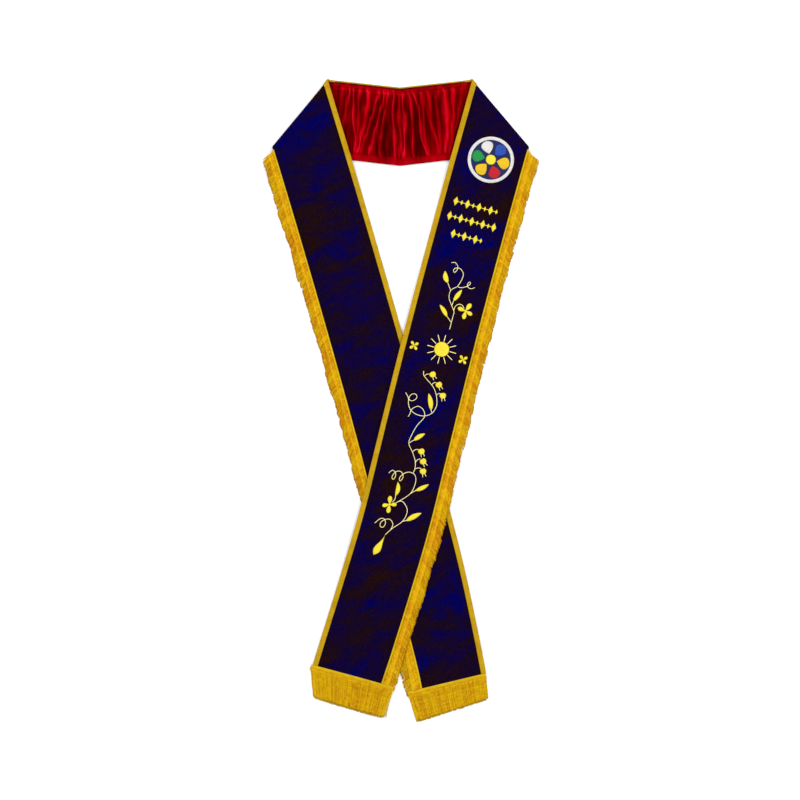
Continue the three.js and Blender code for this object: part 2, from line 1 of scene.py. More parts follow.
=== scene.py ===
import math
import bpy
import numpy as np
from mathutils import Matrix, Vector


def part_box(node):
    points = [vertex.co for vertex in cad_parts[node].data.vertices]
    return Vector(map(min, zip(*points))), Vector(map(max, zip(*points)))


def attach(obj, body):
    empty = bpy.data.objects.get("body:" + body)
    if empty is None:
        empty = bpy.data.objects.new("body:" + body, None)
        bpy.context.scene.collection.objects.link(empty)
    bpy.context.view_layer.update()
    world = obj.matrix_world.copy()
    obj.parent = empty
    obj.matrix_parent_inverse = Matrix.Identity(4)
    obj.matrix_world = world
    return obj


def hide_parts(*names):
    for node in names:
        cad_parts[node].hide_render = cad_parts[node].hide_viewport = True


# A regalia sash lying flat. Shapes are worked out in millimetres on the band's own coordinates:
# along (from the neck seam), across (from the inner edge) and lift (from the inner face out).
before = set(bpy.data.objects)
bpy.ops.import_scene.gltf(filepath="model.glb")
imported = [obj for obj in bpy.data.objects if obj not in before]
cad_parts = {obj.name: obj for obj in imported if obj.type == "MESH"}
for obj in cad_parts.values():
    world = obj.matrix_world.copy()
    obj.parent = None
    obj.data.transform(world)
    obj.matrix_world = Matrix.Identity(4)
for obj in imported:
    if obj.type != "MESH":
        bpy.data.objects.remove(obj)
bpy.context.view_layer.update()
mm = 0.001
random = np.random.default_rng(7)
print("frame loaded")

gap = 0.3
band = {
    "width": 102.0, "thick": 1.8, "tilt": 6.2, "foldOut": 92.2, "neckTop": 419.5, "foldGap": 3.2,
    "pinch": 4.5, "pinchRun": 22.0, "pinchFrom": 70.0,
    "tailRun": 100.0, "spare": 80.0, "coverAcross": 118.0, "coverPast": 37.0,
}
braid = {
    "width": 7.0, "thick": 1.0, "proud": 2.6, "pitch": 2.6, "slant": 0.85, "relief": 0.3,
    "groove": 0.16, "step": 0.74, "neckShare": 0.1, "turn": 24,
}
header = {"width": 6.0, "endWidth": 7.0, "thick": 1.2, "rib": 1.5, "lap": 0.2, "over": 0.4}
drape = {"margin": 9.0, "fall": 60.0, "wave": 0.35, "waveLength": 118.0}
neckRest = {"sag": braid["thick"] + gap, "from": 7.0, "to": 31.0}
tilt = math.radians(band["tilt"])
trimTop = band["thick"] + gap + header["thick"]
crossHeight = trimTop + gap
shoulderHeight = band["thick"] + band["foldGap"]

# Each front panel's lean from straight down, in degrees, at distances along it from the fold,
# and how much further or less far its side fringe reaches.
underBand = {
    "side": -1, "length": 836.7, "innerLean": 5.0, "outerLean": 17.0, "slip": 8.0, "slipRun": 190.0,
    "tailShear": 0.055, "tailPivot": 30.0, "tailProud": -0.6, "tailWidth": 108.5,
    "innerReach": 28.5, "outerReach": 36.0,
    "fringeAt": [0, 250, 290, 360, 395, 450, 590, 640, 796, 830],
    "fringeBy": [0, 0, -1.8, -1.8, 0, -2.2, -2.2, 0, 0, -7],
    "at": [0, 90, 250, 420, 560, 640, 720, 834],
    "lean": [16.8, 16.8, 16.2, 15.4, 14.6, 14.4, 12.2, 10.5],
}
overBand = {
    "side": 1, "length": 824.7, "innerLean": -5.0, "outerLean": 18.0, "slip": 1.0, "slipRun": 60.0,
    "tailShear": -0.034, "tailPivot": 0.0, "tailProud": 2.0, "tailWidth": 113.0,
    "innerReach": 38.5, "outerReach": 38.0,
    "fringeAt": [0, 380, 420, 470, 500, 560, 590, 640],
    "fringeBy": [0, 0, 1.4, 1.4, 0, 1.6, 1.6, 0],
    "at": [0, 90, 250, 430, 560, 640, 740, 822],
    "lean": [15.6, 15.6, 15.0, 13.9, 13.6, 16.5, 17.5, 16.8],
}


# A smooth step from 0 to 1: 3x squared minus 2x cubed.
def smooth(value):
    x = np.clip(value, 0.0, 1.0)
    return x * x * (3.0 - 2.0 * x)


# The neck part lies on its braid at the inner edge and on the floor further in.
def neckLift(across):
    share = (neckRest["to"] - across) / (neckRest["to"] - neckRest["from"])
    return neckRest["sag"] * np.clip(share, 0.0, 1.0)


# Long low waves that both panels share, so that the gaps between them stay as they are.
def clothWave(x, y):
    k = 2.0 * math.pi / drape["waveLength"]
    crests = np.sin(k * (y + 0.35 * x)) * np.cos(0.43 * k * (x - 0.6 * y) + 0.8)
    return drape["wave"] * (0.5 + 0.5 * crests)


# Height of a front panel over the neck part: level above it, then falling to the floor.
def heightOverNeck(x, y):
    top = band["neckTop"] + np.abs(x) * math.tan(tilt)
    across = (top - y) * math.cos(tilt)
    past = across - band["width"] - drape["margin"]
    fall = smooth(past / drape["fall"])
    return (shoulderHeight + neckLift(across)) * (1.0 - fall) + clothWave(x, y) * fall


# Lays out one band: flat neck part, half turn round the fold, then the front panel, whose inner
# edge is the running sum of 1 mm steps that each follow the lean at their middle. Over its last
# tailRun the panel is sheared along its length, so that its tail is cut a little off square.
def layBand(spec, heightAt):
    side = spec["side"]
    foldAngle = (math.pi / 2 + math.radians(spec["lean"][0]) - tilt) / 2
    crossing = foldAngle + tilt
    foldAlong = band["foldOut"] / math.cos(tilt)
    turnRadius = (band["foldGap"] + band["thick"]) / 2
    corner = np.array([band["foldOut"], band["neckTop"] + band["foldOut"] * math.tan(tilt)])
    foldRun = np.array([math.cos(foldAngle), -math.sin(foldAngle)])
    outward = np.array([math.sin(foldAngle), math.cos(foldAngle)])
    start = corner + math.pi * turnRadius * outward

    marks = np.arange(0.0, spec["length"] + band["spare"], 1.0)
    midLean = np.radians(np.interp(marks[:-1] + 0.5, spec["at"], spec["lean"]))
    edgeX = start[0] - np.concatenate([[0.0], np.cumsum(np.sin(midLean))])
    edgeY = start[1] - np.concatenate([[0.0], np.cumsum(np.cos(midLean))])

    # A place on the front panel, seen from above.
    def frontFlat(along, across):
        lean = np.radians(np.interp(along, spec["at"], spec["lean"]))
        x = np.interp(along, marks, edgeX) + across * np.cos(lean)
        return x, np.interp(along, marks, edgeY) - across * np.sin(lean)

    # How far a place on the floor lies from the panel with its fringes: along and across are
    # found by going back to the inner edge a few times, and what is past the edges is left.
    def distance(x, y):
        along = np.full(np.shape(x), spec["length"] / 2)
        for turn in range(6):
            along = np.clip(along, 0.0, marks[-1])
            lean = np.radians(np.interp(along, spec["at"], spec["lean"]))
            dx = x - np.interp(along, marks, edgeX)
            dy = y - np.interp(along, marks, edgeY)
            across = dx * np.cos(lean) - dy * np.sin(lean)
            along = along - dx * np.sin(lean) - dy * np.cos(lean)
        aside = np.maximum(0.0, np.maximum(-across, across - band["coverAcross"]))
        past = np.maximum(0.0, np.maximum(-along, along - spec["length"] - band["coverPast"]))
        return np.hypot(aside, past)

    # A place in the room from one on the band: neck part, half turn or front panel.
    def place(along, across, lift):
        along, across, lift = np.broadcast_arrays(along, across, lift)
        fromTail = foldAlong + spec["length"] - along
        nearTail = np.clip(1.0 - fromTail / band["tailRun"], 0.0, 1.2)
        along = along + spec["tailShear"] * (across - spec["tailPivot"]) * nearTail
        past = (along - foldAlong) * math.sin(crossing) - across * math.cos(crossing)
        level = neckLift(across) + band["thick"]
        neck = np.stack([
            along * math.cos(tilt) + across * math.sin(tilt),
            band["neckTop"] + along * math.sin(tilt) - across * math.cos(tilt),
            level - lift], -1)
        angle = np.clip(past / turnRadius, 0.0, math.pi)
        radius = band["foldGap"] / 2 + lift
        run = (along - foldAlong) * math.cos(crossing) + across * math.sin(crossing)
        out = radius * np.sin(angle)
        turned = np.stack([
            corner[0] + run * foldRun[0] + out * outward[0],
            corner[1] + run * foldRun[1] + out * outward[1],
            level + band["foldGap"] / 2 - radius * np.cos(angle)], -1)
        x, y = frontFlat(np.maximum(along - foldAlong, 0.0), across)
        front = np.stack([x, y, heightAt(side * x, y) + lift], -1)
        points = np.where((past <= 0.0)[..., None], neck, turned)
        points = np.where((past >= math.pi * turnRadius)[..., None], front, points)
        return points * [side, 1.0, 1.0]

    # The same from points (along from the fold, across, lift) in one array, for the embroidery.
    def onPanel(points):
        return place(points[..., 0] + stitch["start"] + foldAlong, points[..., 1], points[..., 2])

    return {"side": side, "spec": spec, "place": place, "onPanel": onPanel, "distance": distance,
            "foldAlong": foldAlong, "foldShear": 1.0 / math.tan(crossing), "heightAt": heightAt,
            "turnLength": math.pi * turnRadius / math.sin(crossing), "foldCross": math.sin(crossing)}


# Height of the over panel: the greater of the one over the neck part and the one over the under
# panel, which falls to the floor past that panel's edges.
def heightOverAll(x, y):
    past = under["distance"](-x, y) - drape["margin"]
    fall = smooth(past / drape["fall"])
    crossing = (crossHeight + clothWave(x, y)) * (1.0 - fall) + clothWave(x, y) * fall
    return np.maximum(heightOverNeck(x, y), crossing)


under = layBand(underBand, heightOverNeck)
over = layBand(overBand, heightOverAll)

# The lining's values, which the shift below needs too. Its cut length is gathered longer than
# the way to the fold.
lining = {
    "inset": 0.7, "foldClear": 6.0, "thick": 1.0, "fade": 16.0, "hidden": 0.25, "rows": 250,
    "across": 54, "proud": 2.6, "overhang": 1.2, "lowSeam": 8.5, "highSeam": 98.5, "seam": 0.6,
    "gathered": 30.0,
}


# The shared frame's origin is the middle of the whole sash. Sideways the shift is the middle
# between both halves of the lining, and upward it brings the lining's highest corner, worked out
# here, to the top of the frame's box of that node.
def frameShift():
    across = braid["proud"] + lining["inset"]
    along = over["foldAlong"] - lining["foldClear"] / over["foldCross"] + over["foldShear"] * across
    top = band["neckTop"] + along * math.sin(tilt) - across * math.cos(tilt)
    left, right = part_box("lining_left"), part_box("lining_right")
    middle = (left[1][0] + right[0][0]) / 2
    return np.array([middle, right[1][1] - top * mm, 0.0])


shift = frameShift()
print("bands laid out, shift", shift)


# Faces of closed lofts: each has rings of points round a path, and both ends are closed by
# joining point k of the ring to point k from the ring's other end.
def loftQuads(count, rings, sides):
    r, s = np.meshgrid(np.arange(rings - 1), np.arange(sides), indexing="ij")
    near, far = r * sides, (r + 1) * sides
    ahead = (s + 1) % sides
    faces = np.stack([near + s, near + ahead, far + ahead, far + s], -1).reshape(-1, 4)
    k = np.arange(sides // 2 - 1)
    cap = np.stack([k, k + 1, sides - 2 - k, sides - 1 - k], -1)
    faces = np.concatenate([faces, cap[:, ::-1], cap + (rings - 1) * sides])
    shifts = np.arange(count)[:, None, None] * rings * sides
    return (faces[None] + shifts).reshape(-1, 4)


# Joins lofts, each a dictionary of points (count, rings, sides, 3), uv, tone and material, into
# one object that takes the place of the frame's node of that name. Lofts laid out on a mirrored
# band are turned over, but not those built round a placed path.
def makePiece(name, lofts, materials, mirrored=False):
    points, faces, uvs, tones, faceSlots = [], [], [], [], []
    first = 0
    for loft in lofts:
        grid = loft["points"]
        grid = grid if grid.ndim == 4 else grid[None]
        count, rings, sides = grid.shape[:3]
        quads = loftQuads(count, rings, sides)
        if loft.get("mirrored", mirrored):
            quads = quads[:, ::-1]
        uv = np.broadcast_to(loft["uv"], grid.shape[:3] + (2,))
        tone = np.broadcast_to(loft.get("tone", 0.5), grid.shape[:3])
        picked = np.broadcast_to(loft.get("material", 0), grid.shape[:3]).reshape(-1)
        faceSlots.append(picked[quads].min(axis=1))
        faces.append(quads + first)
        points.append(grid.reshape(-1, 3))
        uvs.append(uv.reshape(-1, 2))
        tones.append(tone.reshape(-1))
        first += count * rings * sides
    points = np.concatenate(points) * mm + shift
    faces = np.concatenate(faces)
    mesh = bpy.data.meshes.new(name)
    mesh.from_pydata(points.tolist(), [], faces.tolist())
    mesh.uv_layers.new(name="UVMap")
    mesh.uv_layers["UVMap"].data.foreach_set("uv", np.concatenate(uvs)[faces.ravel()].ravel())
    attribute = mesh.attributes.new("tone", "FLOAT", "POINT")
    attribute.data.foreach_set("value", np.concatenate(tones))
    for material in materials:
        mesh.materials.append(material)
    mesh.polygons.foreach_set("material_index", np.concatenate(faceSlots))
    mesh.polygons.foreach_set("use_smooth", np.ones(len(faces), bool))
    mesh.update()
    print(name, 2 * len(faces), "triangles")
    piece = bpy.data.objects.new(name, mesh)
    bpy.context.collection.objects.link(piece)
    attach(piece, "root")
    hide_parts(name)
    return piece


# Four-sided tubes along paths (count, rings, 3), each ring turned a little further for a twist.
def tubes(paths, radius, sides=4, twist=0.9):
    run = np.gradient(paths, axis=1)
    run = run / np.maximum(np.linalg.norm(run, axis=-1, keepdims=True), 1e-9)
    aside = np.cross([0.0, 0.0, 1.0], run)
    aside = aside / np.maximum(np.linalg.norm(aside, axis=-1, keepdims=True), 1e-9)
    above = np.cross(run, aside)
    angle = 2 * math.pi * np.arange(sides)[None] / sides + np.arange(paths.shape[1])[:, None] * twist
    radius = np.broadcast_to(radius, paths.shape[:2])[..., None, None]
    ring = aside[:, :, None] * np.cos(angle)[None, ..., None]
    ring = ring + above[:, :, None] * np.sin(angle)[None, ..., None]
    return paths[:, :, None] + ring * radius


# Gives a node's sockets their values: a link from another node, or a constant.
def fill(tree, node, sockets):
    for label, value in sockets.items():
        socket = node.inputs[label if isinstance(label, int) else label.replace("_", " ")]
        if isinstance(value, bpy.types.NodeSocket):
            tree.links.new(value, socket)
        else:
            socket.default_value = value


# A material with its shader's sockets filled, and its node tree and shader.
def newMaterial(name, **sockets):
    material = bpy.data.materials.new(name)
    material.use_nodes = True
    shader = material.node_tree.nodes["Principled BSDF"]
    fill(material.node_tree, shader, sockets)
    return material, material.node_tree, shader


# The outputs of a new shader node with its settings and sockets.
def addNode(tree, kind, settings=None, **sockets):
    node = tree.nodes.new("ShaderNode" + kind)
    for key, value in (settings or {}).items():
        setattr(node, key, value)
    fill(tree, node, sockets)
    return node.outputs


# One step of arithmetic, with its numbers or links in the order that the operation takes them.
def calc(tree, operation, *values):
    node = tree.nodes.new("ShaderNodeMath")
    node.operation = operation
    fill(tree, node, dict(enumerate(values)))
    return node.outputs[0]


# Two colours mixed by share, or multiplied. A Mix node's colours are its sockets 6 and 7.
def mixColours(tree, share, first, second, blend="MIX"):
    node = tree.nodes.new("ShaderNodeMix")
    node.data_type = "RGBA"
    node.blend_type = blend
    fill(tree, node, {0: share, 6: first, 7: second})
    return node.outputs[2]


# Low to high, stretched evenly onto toLow to toHigh and held at both ends.
def rescale(tree, value, low, high, toLow=0.0, toHigh=1.0):
    return addNode(tree, "MapRange", Value=value, From_Min=low, From_Max=high,
                   To_Min=toLow, To_Max=toHigh)[0]


def noise(tree, place, scale, detail=2.0, roughness=0.5, distortion=0.0):
    return addNode(tree, "TexNoise", Vector=place, Scale=scale, Detail=detail,
                   Roughness=roughness, Distortion=distortion)[0]


def objectPlace(tree):
    return addNode(tree, "TexCoord")["Object"]


def uvPlace(tree):
    return addNode(tree, "UVMap", {"uv_map": "UVMap"})[0]


def ownTone(tree):
    return addNode(tree, "Attribute", {"attribute_name": "tone"})["Fac"]


def bumpNormal(tree, height, strength, distance):
    return addNode(tree, "Bump", Height=height, Strength=strength, Distance=distance)["Normal"]


# A colour ramp from stops that are each a position and a colour.
def ramp(tree, factor, stops):
    node = tree.nodes.new("ShaderNodeValToRGB")
    elements = node.color_ramp.elements
    while len(elements) < len(stops):
        elements.new(0.5)
    for element, (position, colour) in zip(elements, stops):
        element.position = position
        element.color = (*colour, 1.0)
    tree.links.new(factor, node.inputs["Fac"])
    return node.outputs["Color"]


# A node group with named inputs, a colour where the value has four numbers, and named outputs.
def newGroup(name, inputs, outputs):
    tree = bpy.data.node_groups.new(name, "ShaderNodeTree")
    for label, value in inputs.items():
        kind = "Color" if isinstance(value, tuple) else "Float"
        socket = tree.interface.new_socket(label, in_out="INPUT", socket_type="NodeSocket" + kind)
        socket.default_value = value
    for label, kind in outputs.items():
        tree.interface.new_socket(label, in_out="OUTPUT", socket_type="NodeSocket" + kind)
    return tree, tree.nodes.new("NodeGroupInput").outputs, tree.nodes.new("NodeGroupOutput")


# Thread: fine slanted lines on the piece's own UV, as a shade from 0 to 1 and a normal. The
# shade is half of 1 plus the sine of pitch times (v plus slant times u).
def makeThreadGroup():
    tree, given, out = newGroup("threadLines", {"Pitch": 40.0, "Slant": 0.6, "Depth": 0.1},
                                {"Shade": "Float", "Normal": "Vector"})
    place = addNode(tree, "SeparateXYZ", Vector=uvPlace(tree))
    line = calc(tree, "ADD", place[1], calc(tree, "MULTIPLY", place[0], given["Slant"]))
    wave = calc(tree, "SINE", calc(tree, "MULTIPLY", line, given["Pitch"]))
    shade = rescale(tree, wave, -1.0, 1.0)
    fill(tree, out, {"Shade": shade, "Normal": bumpNormal(tree, shade, given["Depth"], 0.0002)})
    return tree


# Gold tone: the piece's own tone attribute and a noise make one level, which picks between
# streak, middle and light colours: level = 0.75 tone + 0.9 noise - 0.35. The thread lines'
# shade then darkens it in the grooves between threads, as painted shade.
def makeToneGroup():
    tree, given, out = newGroup("goldTone", {
        "Light": (0.8, 0.5, 0.05, 1), "Middle": (0.6, 0.3, 0.01, 1), "Streak": (0.7, 0.2, 0.01, 1),
        "Shade": 0.5, "Patch Scale": 90.0}, {"Color": "Color", "Roughness": "Float"})
    patches = noise(tree, objectPlace(tree), given["Patch Scale"], 4.0, 0.65)
    own = calc(tree, "MULTIPLY_ADD", ownTone(tree), 0.75, -0.35)
    level = calc(tree, "MULTIPLY_ADD", patches, 0.9, own)
    light = mixColours(tree, rescale(tree, level, 0.28, 0.62), given["Middle"], given["Light"])
    streaked = mixColours(tree, rescale(tree, level, 0.26, 0.12), light, given["Streak"])
    # Groove shade: the colour is darkened to 0.76 where the thread lines dip, as painted shade.
    grooveShade = rescale(tree, given["Shade"], 0.0, 1.0, 0.76, 1.0)
    shaded = mixColours(tree, 1.0, streaked, grooveShade, "MULTIPLY")
    fill(tree, out, {"Color": shaded, "Roughness": rescale(tree, patches, 0.0, 1.0, 0.62, 0.4)})
    return tree


threadGroup = makeThreadGroup()
toneGroup = makeToneGroup()


# The thread group, placed in a material with its own values.
def threadLines(tree, pitch, slant, depth):
    return addNode(tree, "Group", {"node_tree": threadGroup}, Pitch=pitch, Slant=slant, Depth=depth)


# Gold: three colours picked by the gold tone, over slanted threads.
def goldMaterial(name, light, middle, streak, pitch, slant, depth, patch, metallic):
    material, tree, shader = newMaterial(name, Metallic=metallic, Specular_IOR_Level=0.08)
    lines = threadLines(tree, pitch, slant, depth)
    tone = addNode(tree, "Group", {"node_tree": toneGroup}, Light=(*light, 1), Middle=(*middle, 1),
                   Streak=(*streak, 1), Shade=lines["Shade"], Patch_Scale=patch)
    fill(tree, shader, {"Base Color": tone["Color"], "Roughness": tone["Roughness"],
                        "Normal": lines["Normal"]})
    return material


# Velvet: near black, with soft diagonal patches that run from brown-black through navy to blue,
# the blue a painted sheen where the leaning pile would catch the light. It is darker along both
# edges of the band, where the painted sheen gives way to one plain dark colour.
def velvetMaterial():
    material, tree, shader = newMaterial(
        "navyVelvet", Roughness=0.92, Sheen_Weight=0.3, Sheen_Roughness=0.3,
        Sheen_Tint=(0.03, 0.01, 0.22, 1.0), Specular_IOR_Level=0.0)
    place = objectPlace(tree)
    turned = addNode(tree, "Mapping", {"vector_type": "TEXTURE"}, Vector=place,
                     Rotation=(0, 0, 0.45), Scale=(2.1, 0.9, 1.0))[0]
    patches = noise(tree, turned, 19.0, 6.0, 0.62, 0.5)
    mottles = noise(tree, turned, 75.0, 4.0, 0.6)
    # Painted sheen: the level picks brown-black, navy, then blue, the blue standing in for the pile's
    # sheen.
    paintedSheen = ramp(tree, calc(tree, "MULTIPLY_ADD", mottles, 0.5, patches), [
        (0.57, (0.0150, 0.0042, 0.0030)), (0.68, (0.0100, 0.0030, 0.0120)),
        (0.79, (0.0060, 0.0018, 0.0330)), (0.92, (0.0010, 0.0008, 0.0900))])
    sideways = addNode(tree, "SeparateXYZ", Vector=uvPlace(tree))[0]
    inner = rescale(tree, sideways, 0.06, 0.17, 0.35)
    outer = rescale(tree, sideways, 0.97, 0.86, 0.35)
    # Edge colour: plain dark, with no painted sheen, along both edges of the band.
    edgeColour = (0.0085, 0.0030, 0.0075, 1.0)
    mottled = mixColours(tree, calc(tree, "MULTIPLY", inner, outer), edgeColour, paintedSheen)
    speck = noise(tree, place, 620.0, 4.0, 0.7)
    grain = rescale(tree, speck, 0.3, 0.7, 0.25, 1.15)
    fill(tree, shader, {"Base Color": mixColours(tree, 1.0, mottled, grain, "MULTIPLY"),
                        "Normal": bumpNormal(tree, speck, 0.5, 0.0006)})
    return material


# Satin: red, its level the sum of the piece's own tone, sharp creases and broad swells drawn
# out across the band, and a faint cloud, with a tight weave that stretches its highlights. The
# level picks from near black to bright red, so the creases and swells are painted highlights
# and painted shade of folds, and the tone carries the lining's painted light and shade.
def satinMaterial():
    material, tree, shader = newMaterial(
        "redSatin", Metallic=0.8, Anisotropic=0.5, Specular_IOR_Level=0.1,
        Specular_Tint=(0.75, 0.01, 0.02, 1.0), Sheen_Weight=0.2, Sheen_Tint=(0.5, 0.0, 0.01, 1.0))
    cloudy = noise(tree, objectPlace(tree), 60.0, 3.0)
    onCloth = uvPlace(tree)
    drawn = addNode(tree, "Mapping", Vector=onCloth, Scale=(3.5, 85.0, 1.0))[0]
    broad = addNode(tree, "Mapping", Vector=onCloth, Scale=(1.5, 9.0, 1.0))[0]
    creaseLightAndShade = noise(tree, drawn, 1.0, 3.0, 0.5, 0.4)
    broadLightAndShade = rescale(tree, noise(tree, broad, 1.0), 0.3, 0.7, -0.16, 0.16)
    level = calc(tree, "MULTIPLY_ADD", creaseLightAndShade, 0.42, ownTone(tree))
    level = calc(tree, "MULTIPLY_ADD", cloudy, 0.2, level)
    # Colour: dark red for painted shade up to bright red for painted highlights.
    colour = ramp(tree, calc(tree, "ADD", level, broadLightAndShade), [
        (0.28, (0.036, 0.0, 0.0)), (0.48, (0.098, 0.0, 0.0003)),
        (0.78, (0.25, 0.0, 0.002)), (1.0, (0.37, 0.002, 0.010))])
    lines = threadLines(tree, 900.0, 0.0, 0.05)
    fill(tree, shader, {"Base Color": colour, "Normal": lines["Normal"],
                        "Roughness": rescale(tree, cloudy, 0.0, 1.0, 0.42, 0.28)})
    return material


velvetLook = velvetMaterial()
satinLook = satinMaterial()
braidLook = goldMaterial("goldBraid", light=(0.51, 0.31, 0.004), middle=(0.36, 0.19, 0.002),
                         streak=(0.43, 0.18, 0.003), pitch=97.0, slant=-0.85, depth=0.45,
                         patch=90.0, metallic=0.2)
fringeLook = goldMaterial("goldFringe", light=(0.81, 0.505, 0.001), middle=(0.64, 0.29, 0.0005),
                          streak=(0.70, 0.215, 0.0005), pitch=60.0, slant=1.5, depth=0.35,
                          patch=190.0, metallic=0.05)
headerLook = goldMaterial("goldHeader", light=(0.68, 0.45, 0.003), middle=(0.56, 0.34, 0.002),
                          streak=(0.60, 0.30, 0.002), pitch=90.0, slant=0.8, depth=0.3,
                          patch=90.0, metallic=0.05)
threadLook = goldMaterial("goldThread", light=(0.78, 0.64, 0.04), middle=(0.70, 0.50, 0.02),
                          streak=(0.74, 0.42, 0.012), pitch=160.0, slant=0.35, depth=0.25,
                          patch=90.0, metallic=0.2)
thinLook = goldMaterial("goldThin", light=(1.0, 0.90, 0.42), middle=(0.92, 0.76, 0.27),
                        streak=(0.86, 0.68, 0.20), pitch=160.0, slant=0.35, depth=0.15,
                        patch=90.0, metallic=0.0)
print("materials made")


# Cross-section of a flat tape with round edges: over the top from the outer edge to the inner,
# then back underneath. Gives across and height from 0 to 1 of the thickness.
def tapeRing(low, high, thick, count, edge=3):
    angle = (np.arange(edge) + 0.5) / edge * math.pi / 2
    radius = min(thick / 2, (high - low) / 4)
    rim, rise = radius * (1.0 - np.cos(angle)), 0.5 + 0.5 * np.sin(angle)
    flat = np.linspace(high - radius, low + radius, count)
    across = np.concatenate([high - rim, flat, (low + rim)[::-1]])
    height = np.concatenate([rise, np.ones(count), rise[::-1]])
    return np.concatenate([across, across[::-1]]), np.concatenate([height, 1.0 - height[::-1]])


# Rows along a band, as their place along the inner edge and how far they lean: they turn from
# square to the seam to the fold's own slant, and on the panel back to square to the tail.
def bandRows(lay, neck, turn, front, end=0.0):
    seam = np.linspace(0.0, 1.0, neck, endpoint=False)
    base = [gap / 2 + (lay["foldAlong"] - gap / 2) * seam]
    shear = [-math.tan(tilt) + (lay["foldShear"] + math.tan(tilt)) * seam]
    around = np.linspace(0.0, 1.0, turn, endpoint=False)
    base.append(lay["foldAlong"] + lay["turnLength"] * around)
    shear.append(np.full(turn, lay["foldShear"]))
    panel = np.linspace(0.0, 1.0, front)
    first = lay["foldAlong"] + lay["turnLength"]
    base.append(first + (lay["foldAlong"] + lay["spec"]["length"] - end - first) * panel)
    shear.append(lay["foldShear"] * np.clip(1.0 - panel * 3.0, 0.0, 1.0))
    return np.concatenate(base), np.concatenate(shear)


# The pattern's place on cloth: across and along the band in tenths of a metre.
def clothUv(across, along):
    return np.stack(np.broadcast_arrays(across / 100.0, along / 100.0), -1)


velvet = {"neck": 34, "turn": 24, "front": 300, "across": 36, "innerTone": 0.3}


# Velvet: the tape ring carried along the band, its inner face in the lining's red. At the
# shoulder fold its outer edge is drawn in.
def makeVelvet(name, lay):
    base, shear = bandRows(lay, velvet["neck"], velvet["turn"], velvet["front"])
    across, height = tapeRing(braid["proud"], band["width"], band["thick"], velvet["across"])
    fromFold = np.maximum(lay["foldAlong"] - base, base - lay["foldAlong"] - lay["turnLength"])
    drawnIn = 1.0 - smooth(fromFold / band["pinchRun"])
    outer = smooth((across - band["pinchFrom"]) / (band["width"] - band["pinchFrom"]))
    across = across - band["pinch"] * drawnIn[:, None] * outer
    along = base[:, None] + shear[:, None] * across
    loft = {"points": lay["place"](along, across, height * band["thick"]),
            "uv": clothUv(across, along), "tone": velvet["innerTone"],
            "material": (height < 0.25).astype(int)}
    piece = makePiece(name, [loft], [velvetLook, satinLook], mirrored=lay["side"] < 0)


makeVelvet("velvet_left", under)
makeVelvet("velvet_right", over)
print("velvet made")

# The satin's gathers: ridges across the band, with their place along it from the seam.
underGathers = {
    "along": [1, 9, 16, 20.5, 27, 39.5, 52, 62, 67, 78],
    "height": [1.4, 2.0, 1.5, 2.0, 1.6, 2.0, 1.3, 1.9, 1.7, 1.5],
    "width": [1.9, 2.0, 1.8, 2.0, 1.8, 2.9, 2.0, 2.0, 2.2, 2.4],
    "lean": [-0.11, -0.11, 0.02, 0.1, 0.18, 0.09, 0.0, -0.1, 0.04, 0.0],
}
overGathers = {
    "along": [4.8, 11.5, 16.5, 25, 33, 48, 61, 72, 84],
    "height": [2.0, 1.6, 2.0, 1.2, 1.5, 1.0, 2.0, 1.7, 1.6],
    "width": [2.2, 1.6, 2.0, 2.6, 3.4, 3.2, 3.8, 2.0, 2.2],
    "lean": [-0.11, -0.03, 0.09, 0.02, 0.08, -0.06, -0.11, -0.16, -0.28],
}


# The rows of a table that is written as named columns.
def rowsOf(table):
    return [dict(zip(table, row)) for row in zip(*table.values())]


# Height of the gathers, worked out on both halves from one sideways distance, so that they meet
# at the seam: the tallest ridge at each place and some finer ones, faded at the hems and under
# the panels. A ridge falls off as e to the minus x, with x its distance over its width, to the
# power 1.5.
def gatherHeight(along, across, side):
    sideways = side * (along + across * math.tan(tilt))
    sway = 1.5 * np.sin(across / 15.0 + sideways * 0.11)
    sway = sway + 0.7 * np.sin(across / 6.5 - sideways * 0.3)
    ridges = np.zeros(np.shape(along))
    for hand, table in ((-1, underGathers), (1, overGathers)):
        for row in rowsOf(table):
            middle = hand * (row["along"] + (row["lean"] + math.tan(tilt)) * across)
            off = np.abs(sideways - middle + sway) / row["width"]
            ridges = np.maximum(ridges, row["height"] * np.exp(-off ** 1.5))
    bent = 2.2 * np.sin(across / 21.0) + 1.7 * np.sin(sideways * 0.17)
    fine = (0.5 + 0.5 * np.sin(sideways * 1.21 + bent)) ** 2
    fine = fine * (0.4 + 0.6 * np.sin(across / 33.0 + sideways * 0.4) ** 2)
    panelEdge = band["foldOut"] - across * math.tan(math.radians(overBand["lean"][0]))
    shown = np.clip((panelEdge - along) / lining["fade"], 0.0, 1.0)
    hems = smooth((across - 4.5) / 7.5) * smooth((lining["highSeam"] - across) / 6.0)
    shown = lining["hidden"] + (1.0 - lining["hidden"]) * shown
    return (0.86 * ridges + 0.28 * fine) * shown * hems
